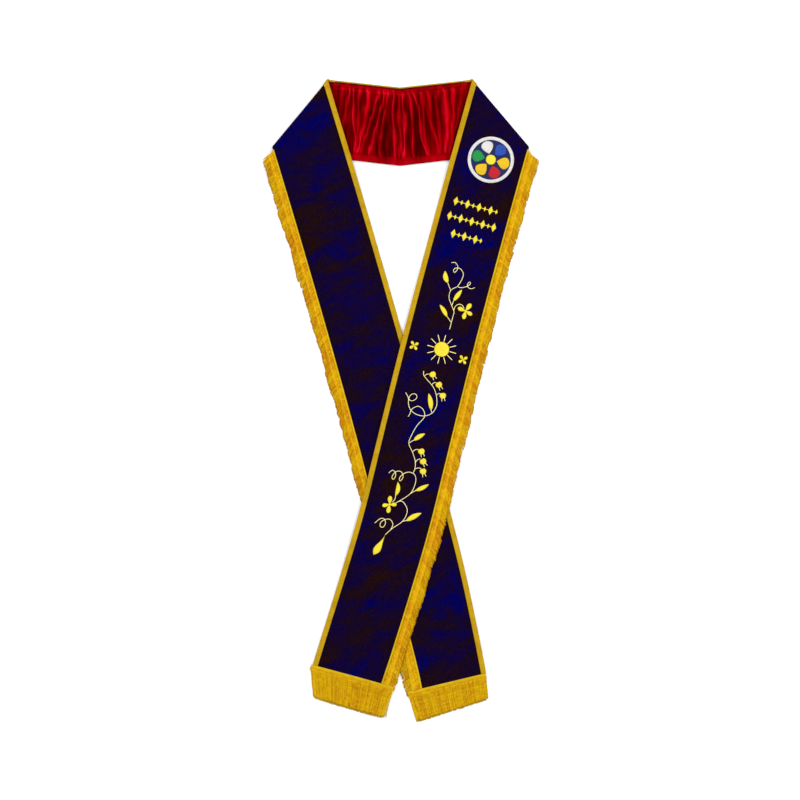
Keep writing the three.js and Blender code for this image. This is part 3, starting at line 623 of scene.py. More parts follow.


# Lining: a thin closed sheet on the neck part, lifted by its gathers, with a flat hem each side.
# Its outer hem stands proud of the velvet at the seam and draws in towards the fold. Its tone is
# higher on the ridges, the hems and near them, as painted highlights, and lower in the seams and
# the piped edge, as painted shade.
def makeLining(name, lay):
    share = np.linspace(0.0, 1.0, lining["rows"])[:, None]
    low, high = braid["proud"] + lining["inset"] - lining["overhang"], band["width"]
    ring, height = tapeRing(low, high, lining["thick"], lining["across"])
    reach = lining["proud"] - (lining["proud"] + lining["inset"]) * share ** 2
    pipingShade = np.exp(-((ring - low) / 1.1) ** 2)
    across = ring + reach * ((ring - low) / (high - low)) ** 3
    start = 0.05 - across * math.tan(tilt)
    end = lay["foldAlong"] - lining["foldClear"] / lay["foldCross"] + lay["foldShear"] * across
    along = start + (end - start) * share
    ripple = gatherHeight(along, across, lay["side"])
    seams = np.exp(-((across - lining["highSeam"]) / lining["seam"]) ** 2)
    seams = seams + np.exp(-((across - lining["lowSeam"]) / lining["seam"]) ** 2)
    top = lining["thick"] + ripple * (height < 0.5) - 0.2 * seams
    flat = 1.0 - smooth((across - 5.5) / 8.0) * smooth((lining["highSeam"] - across) / 5.0)
    nearHemLight = np.exp(-((across - 8.0) / 13.0) ** 2) + np.exp(-((98.0 - across) / 10.0) ** 2)
    # Tone: painted highlights on the ridges, the flat hems and near them; painted shade in the seams
    # and at the piped edge.
    tone = 0.34 * ripple + 0.30 * flat + 0.09 * nearHemLight - 0.18 * seams - 0.5 * pipingShade
    loft = {"points": lay["place"](along, across, -gap - top * (1.0 - height)),
            "uv": clothUv(across, along), "tone": np.clip(tone, 0.0, 1.0)}
    piece = makePiece(name, [loft], [satinLook], mirrored=lay["side"] < 0)


makeLining("lining_left", under)
makeLining("lining_right", over)
print("lining made")


# The pattern's place on trimming: across and along in centimetres.
def flatUv(across, along):
    return np.stack(np.broadcast_arrays(across / 10.0, along / 10.0), -1)


# Gold braid: a tape with a plait in relief, a wave along it that bends back at the middle.
def makeBraid(name, lay):
    count = int((lay["foldAlong"] + lay["spec"]["length"]) / braid["step"])
    neck = int(count * braid["neckShare"])
    base, shear = bandRows(lay, neck, braid["turn"], count - neck, header["endWidth"] + gap)
    across, height = tapeRing(0.0, braid["width"], braid["thick"], 8, edge=2)
    along = base[:, None] + shear[:, None] * across
    middle = np.abs(across - braid["width"] / 2) / (braid["width"] / 2)
    phase = along / braid["pitch"] - middle * braid["slant"]
    plait = 0.5 + 0.5 * np.cos(2 * math.pi * phase)
    groove = np.exp(-(middle / braid["groove"]) ** 2)
    relief = braid["relief"] * plait * (1.0 - 0.6 * groove) - braid["relief"]
    level = height + np.where(height > 0.6, relief, 0.0)
    loft = {"points": lay["place"](along, across, band["thick"] + gap + level * braid["thick"]),
            # Tone: lighter on the plait's crests and darker in its dips, as painted light and shade.
            "uv": flatUv(np.abs(across - braid["width"] / 2), along), "tone": 0.35 + 0.5 * plait}
    makePiece(name, [loft], [braidLook], mirrored=lay["side"] < 0)


makeBraid("inner_braid_left", under)
makeBraid("inner_braid_right", over)
print("braid made")

# Both fringes' strands and skirts. Pitch is the strands' distance, root how far in from the
# header's edge they start, and thinAt the share of a strand past which its tip is thinner.
strandTwist = {"sides": 4, "turn": 0.37}
sideSkirt = {
    "reach": 12.6, "pitch": 1.0, "layers": 3, "radius": 0.55, "thinAt": 0.9, "thin": 0.75,
    "drift": 14.0, "rings": 8, "root": 2.2, "lock": 9.0, "draw": 0.10, "rounding": 0.7,
    "rest": 0.8, "layerRise": 0.45, "layerIn": 0.35, "skirtPitch": 1.6,
}
endSkirt = {
    "root": 3.6, "corner": 2.5, "cornerRun": 7.0, "pitch": 0.95, "layers": 4, "radius": 0.6,
    "thinAt": 0.95, "thin": 0.7, "rings": 13, "rest": 0.6, "layerRise": 0.4, "layerIn": 0.6,
    "skirtPitch": 1.6, "tone": 0.42,
}


# Relief of a fringe's header: fine ribs across it, a cosine of the place along it, and a cord
# along each edge.
def headerRelief(along, edge, height):
    rib = 0.5 + 0.5 * np.cos(2 * math.pi * along / header["rib"])
    cord = np.exp(-((edge - 0.9) / 0.55) ** 2)
    return np.where(height > 0.6, 0.16 * rib + 0.20 * cord - 0.36, 0.0) * header["thick"]


# Strands of a fringe from their paths (count, rings, 3), with uv round and along each strand.
def strandLoft(paths, radius, tone, length):
    count, rings = paths.shape[:2]
    sides = strandTwist["sides"]
    along = np.linspace(0.0, length / 10.0, rings) + strandTwist["turn"] * np.arange(count)[:, None]
    uv = np.empty((count, rings, sides, 2))
    uv[..., 0] = np.arange(sides) / sides
    uv[..., 1] = along[..., None]
    return {"points": tubes(paths, radius), "uv": uv, "tone": tone[:, None, None], "mirrored": False}


# Tone of strands side by side: slow clumps along the fringe and some chance for each one.
def strandTone(root, level=0.36):
    clump = 0.5 + 0.5 * np.sin(root / 5.3 + 2.0 * np.sin(root / 13.0) + 1.3 * np.sin(root / 31.0))
    return np.clip(level + 0.28 * clump + random.normal(0.0, 0.2, len(root)), 0.0, 1.0)


# Near its tail the side fringe slips inward over the velvet, by up to the band's own slip.
def slip(lay, along):
    fromTail = lay["foldAlong"] + lay["spec"]["length"] - along
    return lay["spec"]["slip"] * (1.0 - smooth(fromTail / lay["spec"]["slipRun"]))


# Side fringe: a header on the velvet's outer edge, a thin skirt, and strands over it that leave
# the header near its inner side and lie outward and downward, drawn together into locks with
# rounded tips. Strand and skirt both follow strandPlace, from root (share 0) to tip (share 1).
# Chance is 1 for strands and 0 for the skirt.
def makeSideFringe(name, lay):
    low, high = band["width"] - header["width"], band["width"] + header["over"]
    start = lay["foldAlong"] + lay["turnLength"] + 0.8 + lay["foldShear"] * high
    end = lay["foldAlong"] + lay["spec"]["length"] - header["endWidth"] - gap
    rows = int((end - start) / 0.75)
    across, height = tapeRing(low, high, header["thick"], 5, edge=2)
    shear = lay["foldShear"] * np.clip(1.0 - np.linspace(0.0, 1.0, rows) * 4.0, 0.0, 1.0)
    along = np.linspace(start, end, rows)[:, None] + shear[:, None] * (across - high)
    relief = headerRelief(along, np.minimum(across - low, high - across), height)
    across = across - slip(lay, along) * (high - across) / (high - low)
    lift = band["thick"] + gap + height * header["thick"] + relief
    lofts = [{"points": lay["place"](along, across, lift), "uv": flatUv(across, along),
              "tone": 0.5, "material": 1}]

    widths = random.uniform(0.7, 1.3, int((end - start) / sideSkirt["lock"]) + 4)
    bounds = start + sideSkirt["lock"] * np.concatenate([[0.0], np.cumsum(widths)])
    fullness = random.normal(0.0, 0.6, len(bounds))

    def strandPlace(root, share, layer, chance):
        lock = np.searchsorted(bounds, root) - 1
        middle = (bounds[lock] + bounds[lock + 1]) / 2
        off = (root - middle) / (bounds[lock + 1] - bounds[lock]) * 2.0
        wave = 0.8 * np.sin(root / 17.0) * np.cos(root / 41.0) + fullness[lock]
        fromFold = root - lay["foldAlong"]
        wave = wave + np.interp(fromFold, lay["spec"]["fringeAt"], lay["spec"]["fringeBy"])
        reach = sideSkirt["reach"] + wave - sideSkirt["rounding"] * off ** 2
        reach = reach - sideSkirt["layerIn"] * layer
        reach = reach + random.normal(0.0, 0.3, root.shape) * chance
        drift = sideSkirt["drift"] * (0.8 + 0.2 * np.sin(root / 9.0))
        drift = drift - sideSkirt["draw"] * (root - middle)
        drift = drift + random.normal(0.0, 1.6, root.shape) * chance
        drift = drift * np.clip(0.45 + (root - start) / 40.0, 0.0, 1.0)
        drift = np.minimum(drift, end + 6.0 - root)
        spread = random.normal(0.0, 0.35, root.shape) * np.sin(share * math.pi) * chance
        down = root + drift * share ** 1.3 + spread
        inner = low + sideSkirt["root"] + 0.5 * layer - slip(lay, root)
        return down, inner + (high - inner + reach) * share ** 0.95, off

    ring, height = tapeRing(0.12, 0.9, 0.4, 7, edge=1)
    count = int((end - start) / sideSkirt["skirtPitch"])
    root = np.linspace(start + 1.0, end - 1.0, count)[:, None]
    down, out, off = strandPlace(root, ring, 2, 0.0)
    lifted = 0.25 + (trimTop - 0.35) * (1.0 - smooth((ring - 0.28) * 2.6)) + 0.4 * height
    skirtUv = np.stack(np.broadcast_arrays(root * 0.4, ring * 1.6), -1)
    lofts.append({"points": lay["place"](down, out, lifted), "uv": skirtUv, "tone": 0.45})

    share = np.linspace(0.0, 1.0, sideSkirt["rings"])
    count = int((end - start) / sideSkirt["pitch"])
    for layer in range(sideSkirt["layers"]):
        spread = (np.arange(count) + random.random(count)) / count
        root = start + 0.6 + (end - start - 1.2) * spread
        down, out, off = strandPlace(root[:, None], share, layer, 1.0)
        onHeader = trimTop + 0.1 - 0.3 * layer / sideSkirt["layers"]
        rest = sideSkirt["rest"] + sideSkirt["layerRise"] * layer
        lifted = rest + (onHeader - rest) * (1.0 - smooth((share - 0.28) * 2.6))
        paths = lay["place"](down, out, np.broadcast_to(lifted, down.shape))
        radius = sideSkirt["radius"] * np.where(share > sideSkirt["thinAt"], sideSkirt["thin"], 1.0)
        # Strands towards a lock's edges are darker, as painted shade where the locks part.
        tone = strandTone(root) - 0.1 * off[:, 0] ** 2
        lofts.append(strandLoft(paths, radius, np.clip(tone, 0.0, 1.0), sideSkirt["reach"] + 8.0))
    makePiece(name, lofts, [fringeLook, headerLook], mirrored=lay["side"] < 0)


# End fringe: a header across the tail, a thin skirt, and strands over it whose lean changes
# evenly from one side of the tail to the other, so that they draw together towards their tips.
def makeEndFringe(name, lay):
    spec, width = lay["spec"], lay["spec"]["tailWidth"]
    end = lay["foldAlong"] + spec["length"]
    cols = int((width + spec["tailProud"]) / 0.6)
    across = np.linspace(-spec["tailProud"], width, cols)[:, None]
    near, far = end - header["endWidth"] - header["lap"], end + header["over"]
    along, height = tapeRing(near, far, header["thick"], 8, edge=2)
    edge = np.minimum(along - end + header["endWidth"], far - along)
    lift = band["thick"] + gap + height * header["thick"] + headerRelief(across, edge, height)
    lofts = [{"points": lay["place"](along, across, lift)[:, ::-1], "uv": flatUv(across, along),
              "tone": 0.4, "material": 1}]

    def strandPlace(root, share, layer, chance):
        lean = spec["innerLean"] + (spec["outerLean"] - spec["innerLean"]) * root / width
        lean = np.radians(lean + random.normal(0.0, 1.3, root.shape) * chance)
        reach = spec["innerReach"] + (spec["outerReach"] - spec["innerReach"]) * root / width
        fromSide = np.minimum(root + spec["tailProud"], width - root)
        corner = np.clip(1.0 - fromSide / endSkirt["cornerRun"], 0.0, 1.0) ** 2
        reach = reach - endSkirt["corner"] * corner - endSkirt["layerIn"] * layer
        reach = reach + random.normal(0.0, 0.45, root.shape) * chance
        curl = random.normal(0.0, 0.6, root.shape) * np.sin(share * 5.0 + root) * share * chance
        start = lay["place"](end - endSkirt["root"], root, 0.0)
        run = (reach + endSkirt["root"]) * share
        x = start[..., 0] - lay["side"] * (run * np.sin(lean) - curl * np.cos(lean))
        y = start[..., 1] - run * np.cos(lean) - curl * np.sin(lean)
        return x, y, lay["heightAt"](lay["side"] * x, y) * (1.0 - 0.5 * share)

    ring, height = tapeRing(0.14, 0.97, 0.4, 9, edge=1)
    count = int(width / endSkirt["skirtPitch"])
    root = np.linspace(1.2 - spec["tailProud"], width - 1.2, count)[:, None]
    x, y, ground = strandPlace(root, ring, endSkirt["layers"], 0.0)
    skirtUv = np.stack(np.broadcast_arrays(root * 0.4, ring * 3.6), -1)
    skirt = np.stack([x, y, ground + 0.1 + 0.35 * height], -1)
    lofts.append({"points": skirt[:, ::-1], "uv": skirtUv, "tone": 0.5})

    share = np.linspace(0.0, 1.0, endSkirt["rings"])
    count = int(width / endSkirt["pitch"])
    for layer in range(endSkirt["layers"]):
        root = (np.arange(count) + random.random(count)) / count
        root = 0.6 - spec["tailProud"] + (width + spec["tailProud"] - 1.2) * root
        x, y, ground = strandPlace(root[:, None], share, layer, 1.0)
        rest = endSkirt["rest"] + endSkirt["layerRise"] * layer
        lifted = rest + (trimTop + 0.3 - rest) * (1.0 - smooth((share - 0.08) * 5.0))
        radius = endSkirt["radius"] * np.where(share > endSkirt["thinAt"], endSkirt["thin"], 1.0)
        tone = strandTone(root * 1.7 + 9.0 * layer, endSkirt["tone"])
        lofts.append(strandLoft(np.stack([x, y, ground + lifted], -1), radius, tone, 38.0))
    makePiece(name, lofts, [fringeLook, headerLook], mirrored=lay["side"] < 0)


for hand, lay in (("left", under), ("right", over)):
    makeSideFringe("side_fringe_" + hand, lay)
    makeEndFringe("end_fringe_" + hand, lay)
print("fringes made")


# The embroidery, each place along the panel from the fold and across it from the inner edge.
# Stems are [along, across] points that a smooth curve passes through. The places are counted
# from start past the fold, and lift is the height of the stitches' foot over the underside.
stitch = {
    "start": 2.7, "lift": 2.15, "thick": 0.9, "stem": 0.5, "step": 0.5, "sides": 8, "turn": 1.15,
    "ridge": 0.05, "ridgePitch": 1.1,
}
upperStems = [
    [[334, 58.5], [315.5, 58.5], [310, 58.5], [302.5, 53.5], [292.5, 47], [282.5, 47], [275.5, 54]],
    [[275.5, 54], [269, 56.5], [257, 57.5], [251, 51], [252.5, 45], [255.5, 43.5], [258, 45.5],
     [254, 48], [249.5, 48], [245, 43], [246.5, 38]],
    [[275.5, 54], [275.5, 59.5], [270.5, 68], [266.5, 70], [265.5, 68], [270.5, 66.5], [273.5, 70],
     [273, 74], [270.5, 77]],
    [[308, 57.5], [302.5, 58], [299, 60.5], [297.5, 64.5], [299, 68], [302, 70.5]],
    [[282.5, 46.5], [274, 40.5]], [[302.5, 53.5], [295.5, 54]], [[324, 58], [318, 51]],
]
upperLeaves = {
    "along": [274, 295.5, 318.5], "across": [40.3, 54, 51], "toAlong": [259.5, 278, 305],
    "toAcross": [33, 61, 37.5], "width": [6.8, 5.8, 5.8], "bend": [1.2, 0, -0.6],
}
upperFlower = {
    "along": 304.5, "across": 73, "turns": [0, 73, 158, 262], "reaches": [11.3, 10.3, 12.3, 11.2],
}
lowerStems = [
    [[396.5, 38.5], [402, 40], [407, 46], [413.5, 55], [418, 59], [427, 64], [438.5, 66.5], [449, 63],
     [455, 54.5], [455.5, 42.5], [451.5, 34], [444.5, 29.5], [437, 27.5], [430.5, 22]],
    [[438.5, 28], [439.5, 32.5], [436.5, 37], [432, 38], [429.5, 35], [431, 30.5], [435, 28.5],
     [440, 28.5]],
    [[461.5, 33], [457, 34.5], [451.5, 35], [447, 38.5], [444.5, 43], [447, 50], [455, 54.5],
     [461, 52.5], [469, 48], [482, 44], [495.5, 42.5], [506, 50], [517, 56.5], [528, 58.5], [534, 57]],
    [[534, 57.5], [533, 54], [534.5, 48.5], [541, 42.5], [545.5, 41.5], [547.5, 43], [543.5, 45.5],
     [539, 45], [535, 41], [536.5, 35], [541.5, 32], [546, 31.5], [547.5, 34], [542, 35.5], [537.5, 34],
     [536, 30], [541, 25.5]],
    [[533, 57.5], [536, 61], [540, 63], [550, 63.5], [559.5, 61], [566, 56], [577, 44.5]],
    [[574, 47.5], [573, 52.5], [580.5, 61], [587, 62.3], [597.5, 59.5], [610.5, 48.5], [620.5, 42]],
    [[612.5, 47], [608, 48], [603.5, 47.5], [599.5, 42], [602, 35.5], [607.5, 31.5], [612, 33],
     [611.5, 36.5], [605.5, 38], [601, 35], [601.5, 30.5], [609.5, 24]],
    [[403, 41.5], [400.5, 43], [399, 46.5]], [[412, 54], [409, 55.5], [407.5, 59]],
    [[424.5, 63], [422, 64.5], [420.5, 68]], [[449, 63], [444, 60]], [[495, 43], [489.5, 48.5]],
    [[505.5, 50], [502, 53], [500.5, 57.5]], [[519.5, 57], [515, 58.5], [512, 63]],
    [[527.5, 58.5], [525, 62], [524.5, 67]], [[560.5, 60.5], [554.5, 67]],
    [[577.5, 39.5], [572.5, 42], [566, 41.7]], [[598, 59.5], [594.5, 65.5]],
]
lowerLeaves = {
    "along": [445.5, 490.5, 555.5, 568, 596], "across": [60.8, 48, 66, 41.8, 64],
    "toAlong": [424.5, 478, 543, 549.5, 581.5], "toAcross": [52.5, 60.5, 81.5, 40.5, 81],
    "width": [6.6, 6, 5.6, 5.8, 6.6], "bend": [-0.8, 0.6, -0.5, -1.8, 0.5],
}
lowerBuds = {
    "along": [619.5], "across": [42.3], "toAlong": [650], "toAcross": [34.3], "width": [9.4],
    "bend": [0.6],
}
lowerFlower = {
    "along": 581, "across": 37, "turns": [4, 104, 190, 293], "reaches": [11.3, 9.6, 11.4, 9.9],
}
bells = {
    "along": [398.5, 410, 423, 502.5, 515, 528], "across": [51.5, 63, 71.5, 61.5, 67, 70],
    "turn": [41, 41, 20, 30, 44, 28],
}


# A smooth curve through points: on each stretch a cubic whose end slopes come from the three
# nearest points, each gap between points counted as the square root of its length.
def curveThrough(points, step):
    p = np.array(points, float)
    p = np.concatenate([[2 * p[0] - p[1]], p, [2 * p[-1] - p[-2]]])
    t = np.sqrt(np.linalg.norm(np.diff(p, axis=0), axis=1))
    pieces = []
    for k in range(1, len(p) - 2):
        a, b, c = t[k - 1], t[k], t[k + 1]
        first = (p[k] - p[k - 1]) / a - (p[k + 1] - p[k - 1]) / (a + b) + (p[k + 1] - p[k]) / b
        last = (p[k + 1] - p[k]) / b - (p[k + 2] - p[k]) / (b + c) + (p[k + 2] - p[k + 1]) / c
        count = max(2, int(np.linalg.norm(p[k + 1] - p[k]) / step))
        s = (np.arange(count) / count)[:, None]
        pieces.append((2 * s ** 3 - 3 * s ** 2 + 1) * p[k] + (s ** 3 - 2 * s ** 2 + s) * first * b
                      + (3 * s ** 2 - 2 * s ** 3) * p[k + 1] + (s ** 3 - s ** 2) * last * b)
    return np.concatenate(pieces + [p[-2:-1]])


# A row of stitches along a curve: a flattened tube whose radius swells twice round, turned a
# little further at each step, so that it looks like two cords twisted together.
def stemLoft(points, radius=stitch["stem"], material=1):
    line = curveThrough(points, stitch["step"])
    step = np.arange(len(line))[:, None]
    run = np.gradient(line, axis=0)
    run = run / np.linalg.norm(run, axis=1, keepdims=True)
    aside = np.stack([-run[:, 1], run[:, 0]], -1)
    angle = 2 * math.pi * np.arange(stitch["sides"]) / stitch["sides"]
    size = radius * (0.84 + 0.2 * np.cos(2.0 * (angle - step * stitch["turn"])))
    size = size * np.clip((np.minimum(step, step[::-1]) + 1) / 3, 0, 1)
    flat = line[:, None] + aside[:, None] * (np.cos(angle) * size)[..., None]
    level = stitch["lift"] + 0.5 + 0.62 * np.sin(angle) * size
    uv = np.stack(np.broadcast_arrays(angle / 6.3, step * stitch["step"] / 10), -1)
    return {"points": over["onPanel"](np.concatenate([flat, level[..., None]], -1)),
            "uv": uv, "tone": 0.75, "material": material}


# Outline of a satin-stitched shape, as its half width's share at each share of its length: the
# sine of pi times share to the power lean, to the power fullness. A lozenge's falls evenly from
# its middle to both ends.
outlines = {"leaf": [0.9, 0.72], "petal": [1.5, 0.55], "bud": [2.1, 0.95], "bell": [0.8, 0.36]}


def widthAt(outline, share):
    if outline == "lozenge":
        return 1.0 - np.abs(2.0 * share - 1.0)
    lean, fullness = outlines[outline]
    return np.sin(math.pi * share ** lean).clip(0.0, 1.0) ** fullness


# A satin-stitched shape from base to tip, bent to one side by a parabola, domed over each half
# of its width, and with fine ridges where the threads cross it at a slant.
def leafLoft(base, tip, width, outline="leaf", bend=0.0, groove=0.35, low=stitch["lift"],
             tall=stitch["thick"], top=9):
    base, tip = np.array(base, float), np.array(tip, float)
    run = tip - base
    length = np.linalg.norm(run)
    aside = np.array([-run[1], run[0]]) / length
    even = np.linspace(0.0, 1.0, max(12, int(length / 0.3)))
    share = even - np.sin(2.0 * math.pi * even) / (2.0 * math.pi) * 0.6
    half = np.maximum(widthAt(outline, share), 0.04) * width / 2
    side = np.concatenate([np.linspace(1.0, -1.0, top), np.linspace(-1.0, 1.0, top)])
    bulge = np.sqrt(np.clip(1.0 - side ** 2, 0.0, 1.0)) - groove * np.exp(-(side / 0.16) ** 2)
    dome = tall * np.minimum(1.0, half / (0.3 * width) + 0.25)[:, None] * (0.35 + 0.65 * bulge)
    across = side * half[:, None]
    slanted = share[:, None] * length + np.abs(across) * 0.8
    dome = dome + stitch["ridge"] * np.sin(2 * math.pi * slanted / stitch["ridgePitch"])
    level = np.where(np.arange(2 * top) < top, low + np.maximum(dome, 0.12), low)
    middle = base + share[:, None] * run + (4.0 * bend * share * (1.0 - share))[:, None] * aside
    flat = middle[:, None] + across[..., None] * aside
    return {"points": over["onPanel"](np.concatenate([flat, level[..., None]], -1)),
            "uv": flatUv(np.abs(across), share[:, None] * length), "tone": 0.7}


# The place at a distance and an angle from another one.
def polar(along, across, distance, angle):
    return [along + distance * math.cos(angle), across + distance * math.sin(angle)]


# Leaves or buds from the rows of a table, each from its base to its tip.
def leafLofts(table, outline="leaf"):
    return [leafLoft([row["along"], row["across"]], [row["toAlong"], row["toAcross"]],
                     row["width"], outline, row["bend"]) for row in rowsOf(table)]


# A flower: petals that each have a turn in degrees and a reach, and a knot in the middle.
def flowerLofts(flower):
    along, across = flower["along"], flower["across"]
    lofts = []
    for turn, reach in zip(flower["turns"], flower["reaches"]):
        angle = math.radians(turn)
        base = polar(along, across, reach * 0.04, angle)
        tip = polar(along, across, reach, angle)
        lofts.append(leafLoft(base, tip, 1.2 + reach * 0.42, "petal", groove=0.25))
    lofts.append(knotLoft(along, across, flower["reaches"][0] * 0.16))
    return lofts


# A round knot of thread: a low dome of rings, 1 mm high.
def knotLoft(along, across, radius, sides=10):
    level = stitch["lift"] + np.array([0.0, 0.5, 0.85, 1.0])[:, None]
    size = radius * np.array([1.0, 0.92, 0.6, 0.12])[:, None]
    angle = 2 * math.pi * np.arange(sides) / sides
    grid = np.stack(np.broadcast_arrays(
        along + size * np.cos(angle), across + size * np.sin(angle), level), -1)
    return {"points": over["onPanel"](grid), "uv": grid[..., :2] / 10.0, "tone": 0.9}


bell = {"length": 7.6, "width": 8.8, "from": 2.6, "to": 7.6, "apart": 1.5, "splay": 0.1}


# Bells: a full cup along its turn, with two stamens that spread from its mouth.
def bellLofts(table):
    lofts = []
    for row in rowsOf(table):
        along, across, angle = row["along"], row["across"], math.radians(row["turn"])
        base = polar(along, across, -bell["length"] / 2, angle)
        tip = polar(along, across, bell["length"] / 2, angle)
        lofts.append(leafLoft(base, tip, bell["width"], "bell", groove=0.12))
        for hand in (-1, 1):
            foot = polar(along, across, hand * bell["apart"], angle + math.pi / 2)
            inner = polar(foot[0], foot[1], bell["from"], angle)
            outer = polar(foot[0], foot[1], bell["to"], angle + hand * bell["splay"])
            lofts.append(stemLoft([inner, outer]))
    return lofts


# Stitched pieces of one or two threads, from their lofts.
def makeStitched(name, lofts):
    makePiece(name, lofts, [threadLook, thinLook])


stems = [stemLoft(row) for row in upperStems]
makeStitched("upper_spray", stems + leafLofts(upperLeaves) + flowerLofts(upperFlower))
stems = [stemLoft(row) for row in lowerStems]
leaves = leafLofts(lowerLeaves) + leafLofts(lowerBuds, "bud")
makeStitched("lower_spray", stems + leaves + bellLofts(bells) + flowerLofts(lowerFlower))
for hand, along, across in (("left", 366.8, 17.8), ("right", 369.1, 86.0)):
    small = {"along": along, "across": across, "turns": [45, 135, 225, 315], "reaches": [6.8] * 4}
    makeStitched("side_flower_" + hand, flowerLofts(small))
print("sprays made")

sun = {
    "along": 362.6, "across": 54.9, "radius": 10.0, "ray": 20.2, "rays": 12, "turn": -1.6,
    "rayWide": 1.2, "rings": 24, "sides": 96,
}


# A disc from rings, given by their share of the radius and their level over low. The wobble is
# a relief worked out from the share and the angle.
def discLoft(place, sizes, levels, low, sides, wobble):
    share = np.array(sizes)[:, None]
    angle = 2 * math.pi * np.arange(sides) / sides
    size = place["radius"] * share
    level = low + np.array(levels)[:, None] + wobble(share, angle)
    grid = np.stack(np.broadcast_arrays(
        place["along"] + size * np.cos(angle), place["across"] + size * np.sin(angle), level), -1)
    return {"points": over["onPanel"](grid), "uv": flatUv(size, angle * place["radius"]), "tone": 0.7}


# Sun: a disc filled with short staggered stitches, and rays of one thick thread each. The
# stitches are a sine along times a sine across, shifted sideways as it goes along.
def makeSun():
    def stitches(share, angle):
        along, across = sun["radius"] * share * np.cos(angle), sun["radius"] * share * np.sin(angle)
        return np.sin(2 * math.pi * along / 1.5) * np.sin(2 * math.pi * across / 2.4 + along * 1.1)

    def relief(share, angle):
        return 0.07 * stitches(share, angle) * np.clip(1.05 - share, 0, 1)

    inner = np.linspace(0.97, 0.02, sun["rings"])
    sizes = np.concatenate([[1.0, 1.0], inner])
    levels = np.concatenate([[0.0, 0.35], 1.0 - 0.35 * inner ** 6])
    disc = discLoft(sun, sizes, levels, stitch["lift"], sun["sides"], relief)
    angles = 2 * math.pi * np.arange(sun["sides"]) / sun["sides"]
    # The disc's tone follows the stitches, lighter on their crests and darker between them, as painted
    # light and shade.
    disc["tone"] = 0.62 + 0.3 * stitches(sizes[:, None], angles)
    lofts = [disc]
    for index in range(sun["rays"]):
        angle = 2 * math.pi * index / sun["rays"] + math.radians(sun["turn"])
        base = polar(sun["along"], sun["across"], sun["radius"] * 1.04, angle)
        tip = polar(sun["along"], sun["across"], sun["ray"], angle)
        lofts.append(stemLoft([base, tip], sun["rayWide"] / 2))
    makeStitched("sun", lofts)


makeSun()

ornamentRows = {"along": [165, 186, 208], "from": [19, 16, 27], "to": [82, 84, 72], "count": [8, 9, 6]}
lozenge = {"tall": 12.5, "wide": 7.0, "small": 0.55, "bar": 0.6}


# A row of lozenges, every second one small, on a bar of thread.
def makeOrnamentRow(name, row):
    along, half = row["along"], lozenge["wide"] / 2
    places = np.linspace(row["from"] + half, row["to"] - half, row["count"])
    lofts = [stemLoft([[along, places[0]], [along, places[-1]]], lozenge["bar"], 0)]
    for index, across in enumerate(places):
        size = lozenge["small"] if index % 2 else 1.0
        tall, wide = lozenge["tall"] * size, lozenge["wide"] * size
        lofts.append(leafLoft([along - tall / 2, across], [along + tall / 2, across], wide,
                              "lozenge", groove=0.2))
    makePiece(name, lofts, [threadLook])


for index, row in enumerate(rowsOf(ornamentRows)):
    makeOrnamentRow("ornament_row_" + str(index + 1), row)
print("sun and rows made")

rosette = {
    "along": 99.5, "across": 52.7, "radius": 31.0, "petal": 21.0, "petalWide": 16.0,
    "hub": 6.0, "centre": 7.0, "tall": 0.7, "sides": 450,
}
petalColours = ["red", "yellow", "blue", "white", "green", "yellow"]
patchColours = {
    "red": (0.55, 0.010, 0.022), "yellow": (0.88, 0.55, 0.012), "blue": (0.020, 0.075, 0.42),
    "white": (0.80, 0.78, 0.74), "green": (0.012, 0.30, 0.065),
}


# Patch thread: one colour, lighter and darker along the stitches: darker in the grooves between them as
# painted shade, more or less so with a fine noise.
def patchMaterial(name, colour):
    material, tree, shader = newMaterial(name, Roughness=0.5, Specular_IOR_Level=0.15)
    lines = threadLines(tree, 70.0, 0.9, 0.4)
    mottled = noise(tree, objectPlace(tree), 420.0, 3.0)
    # Groove shade: half the colour, painted where the thread lines dip.
    grooveShade = tuple(channel * 0.5 for channel in colour)
    tone = ramp(tree, calc(tree, "MULTIPLY", lines["Shade"], mottled), [(0.0, grooveShade), (0.6, colour)])
    fill(tree, shader, {"Base Color": tone, "Normal": lines["Normal"]})
    return material


patchLooks = {name: patchMaterial("patch_" + name, colour) for name, colour in patchColours.items()}
patchGround = patchMaterial("patch_ground", (0.010, 0.016, 0.10))


# Rosette: a round patch with an overlocked rim, six raised petals and a woven centre. The rim's
# stitches are a sine round it, strongest at 0.94 of the radius. The weave is one too.
def makeRosette():
    along, across = rosette["along"], rosette["across"]

    def overlock(share, angle):
        return 0.10 * np.sin(150.0 * angle + 6.0 * share) * np.exp(-((share - 0.94) / 0.05) ** 2)

    def weave(share, angle):
        return 0.05 * np.sin(30.0 * angle) * (share > 0.15)

    rim = discLoft(rosette, [0.98, 1.0, 0.99, 0.95, 0.90, 0.87, 0.86, 0.5, 0.02],
                   [0.0, 0.4, 0.75, 0.95, 0.8, 0.45, 0.4, 0.4, 0.4], stitch["lift"],
                   rosette["sides"], overlock)
    rim["material"] = (np.arange(9) > 5).astype(int)[:, None]
    makePiece("rosette_backing", [rim], [patchLooks["white"], patchGround])
    low = stitch["lift"] + rosette["tall"] + gap
    for index, colour in enumerate(petalColours):
        name, angle = "rosette_petal_" + str(index + 1), math.radians(60 * index + 30)
        base = polar(along, across, rosette["hub"] + gap + rosette["centre"] * 0.3, angle)
        tip = polar(along, across, rosette["hub"] + rosette["petal"] - 1.5, angle)
        loft = leafLoft(base, tip, rosette["petalWide"], "petal", low=low, tall=rosette["tall"], top=14)
        makePiece(name, [loft], [patchLooks[colour]])
    hub = {"along": along, "across": across, "radius": rosette["centre"] - gap}
    hub = discLoft(hub, [1, 1, 0.9, 0.7, 0.4, 0.02], [0, 0.4, 0.75, 0.95, 1.05, 1.1], low, 72, weave)
    makePiece("rosette_centre", [hub], [threadLook])


makeRosette()
print("rosette made")

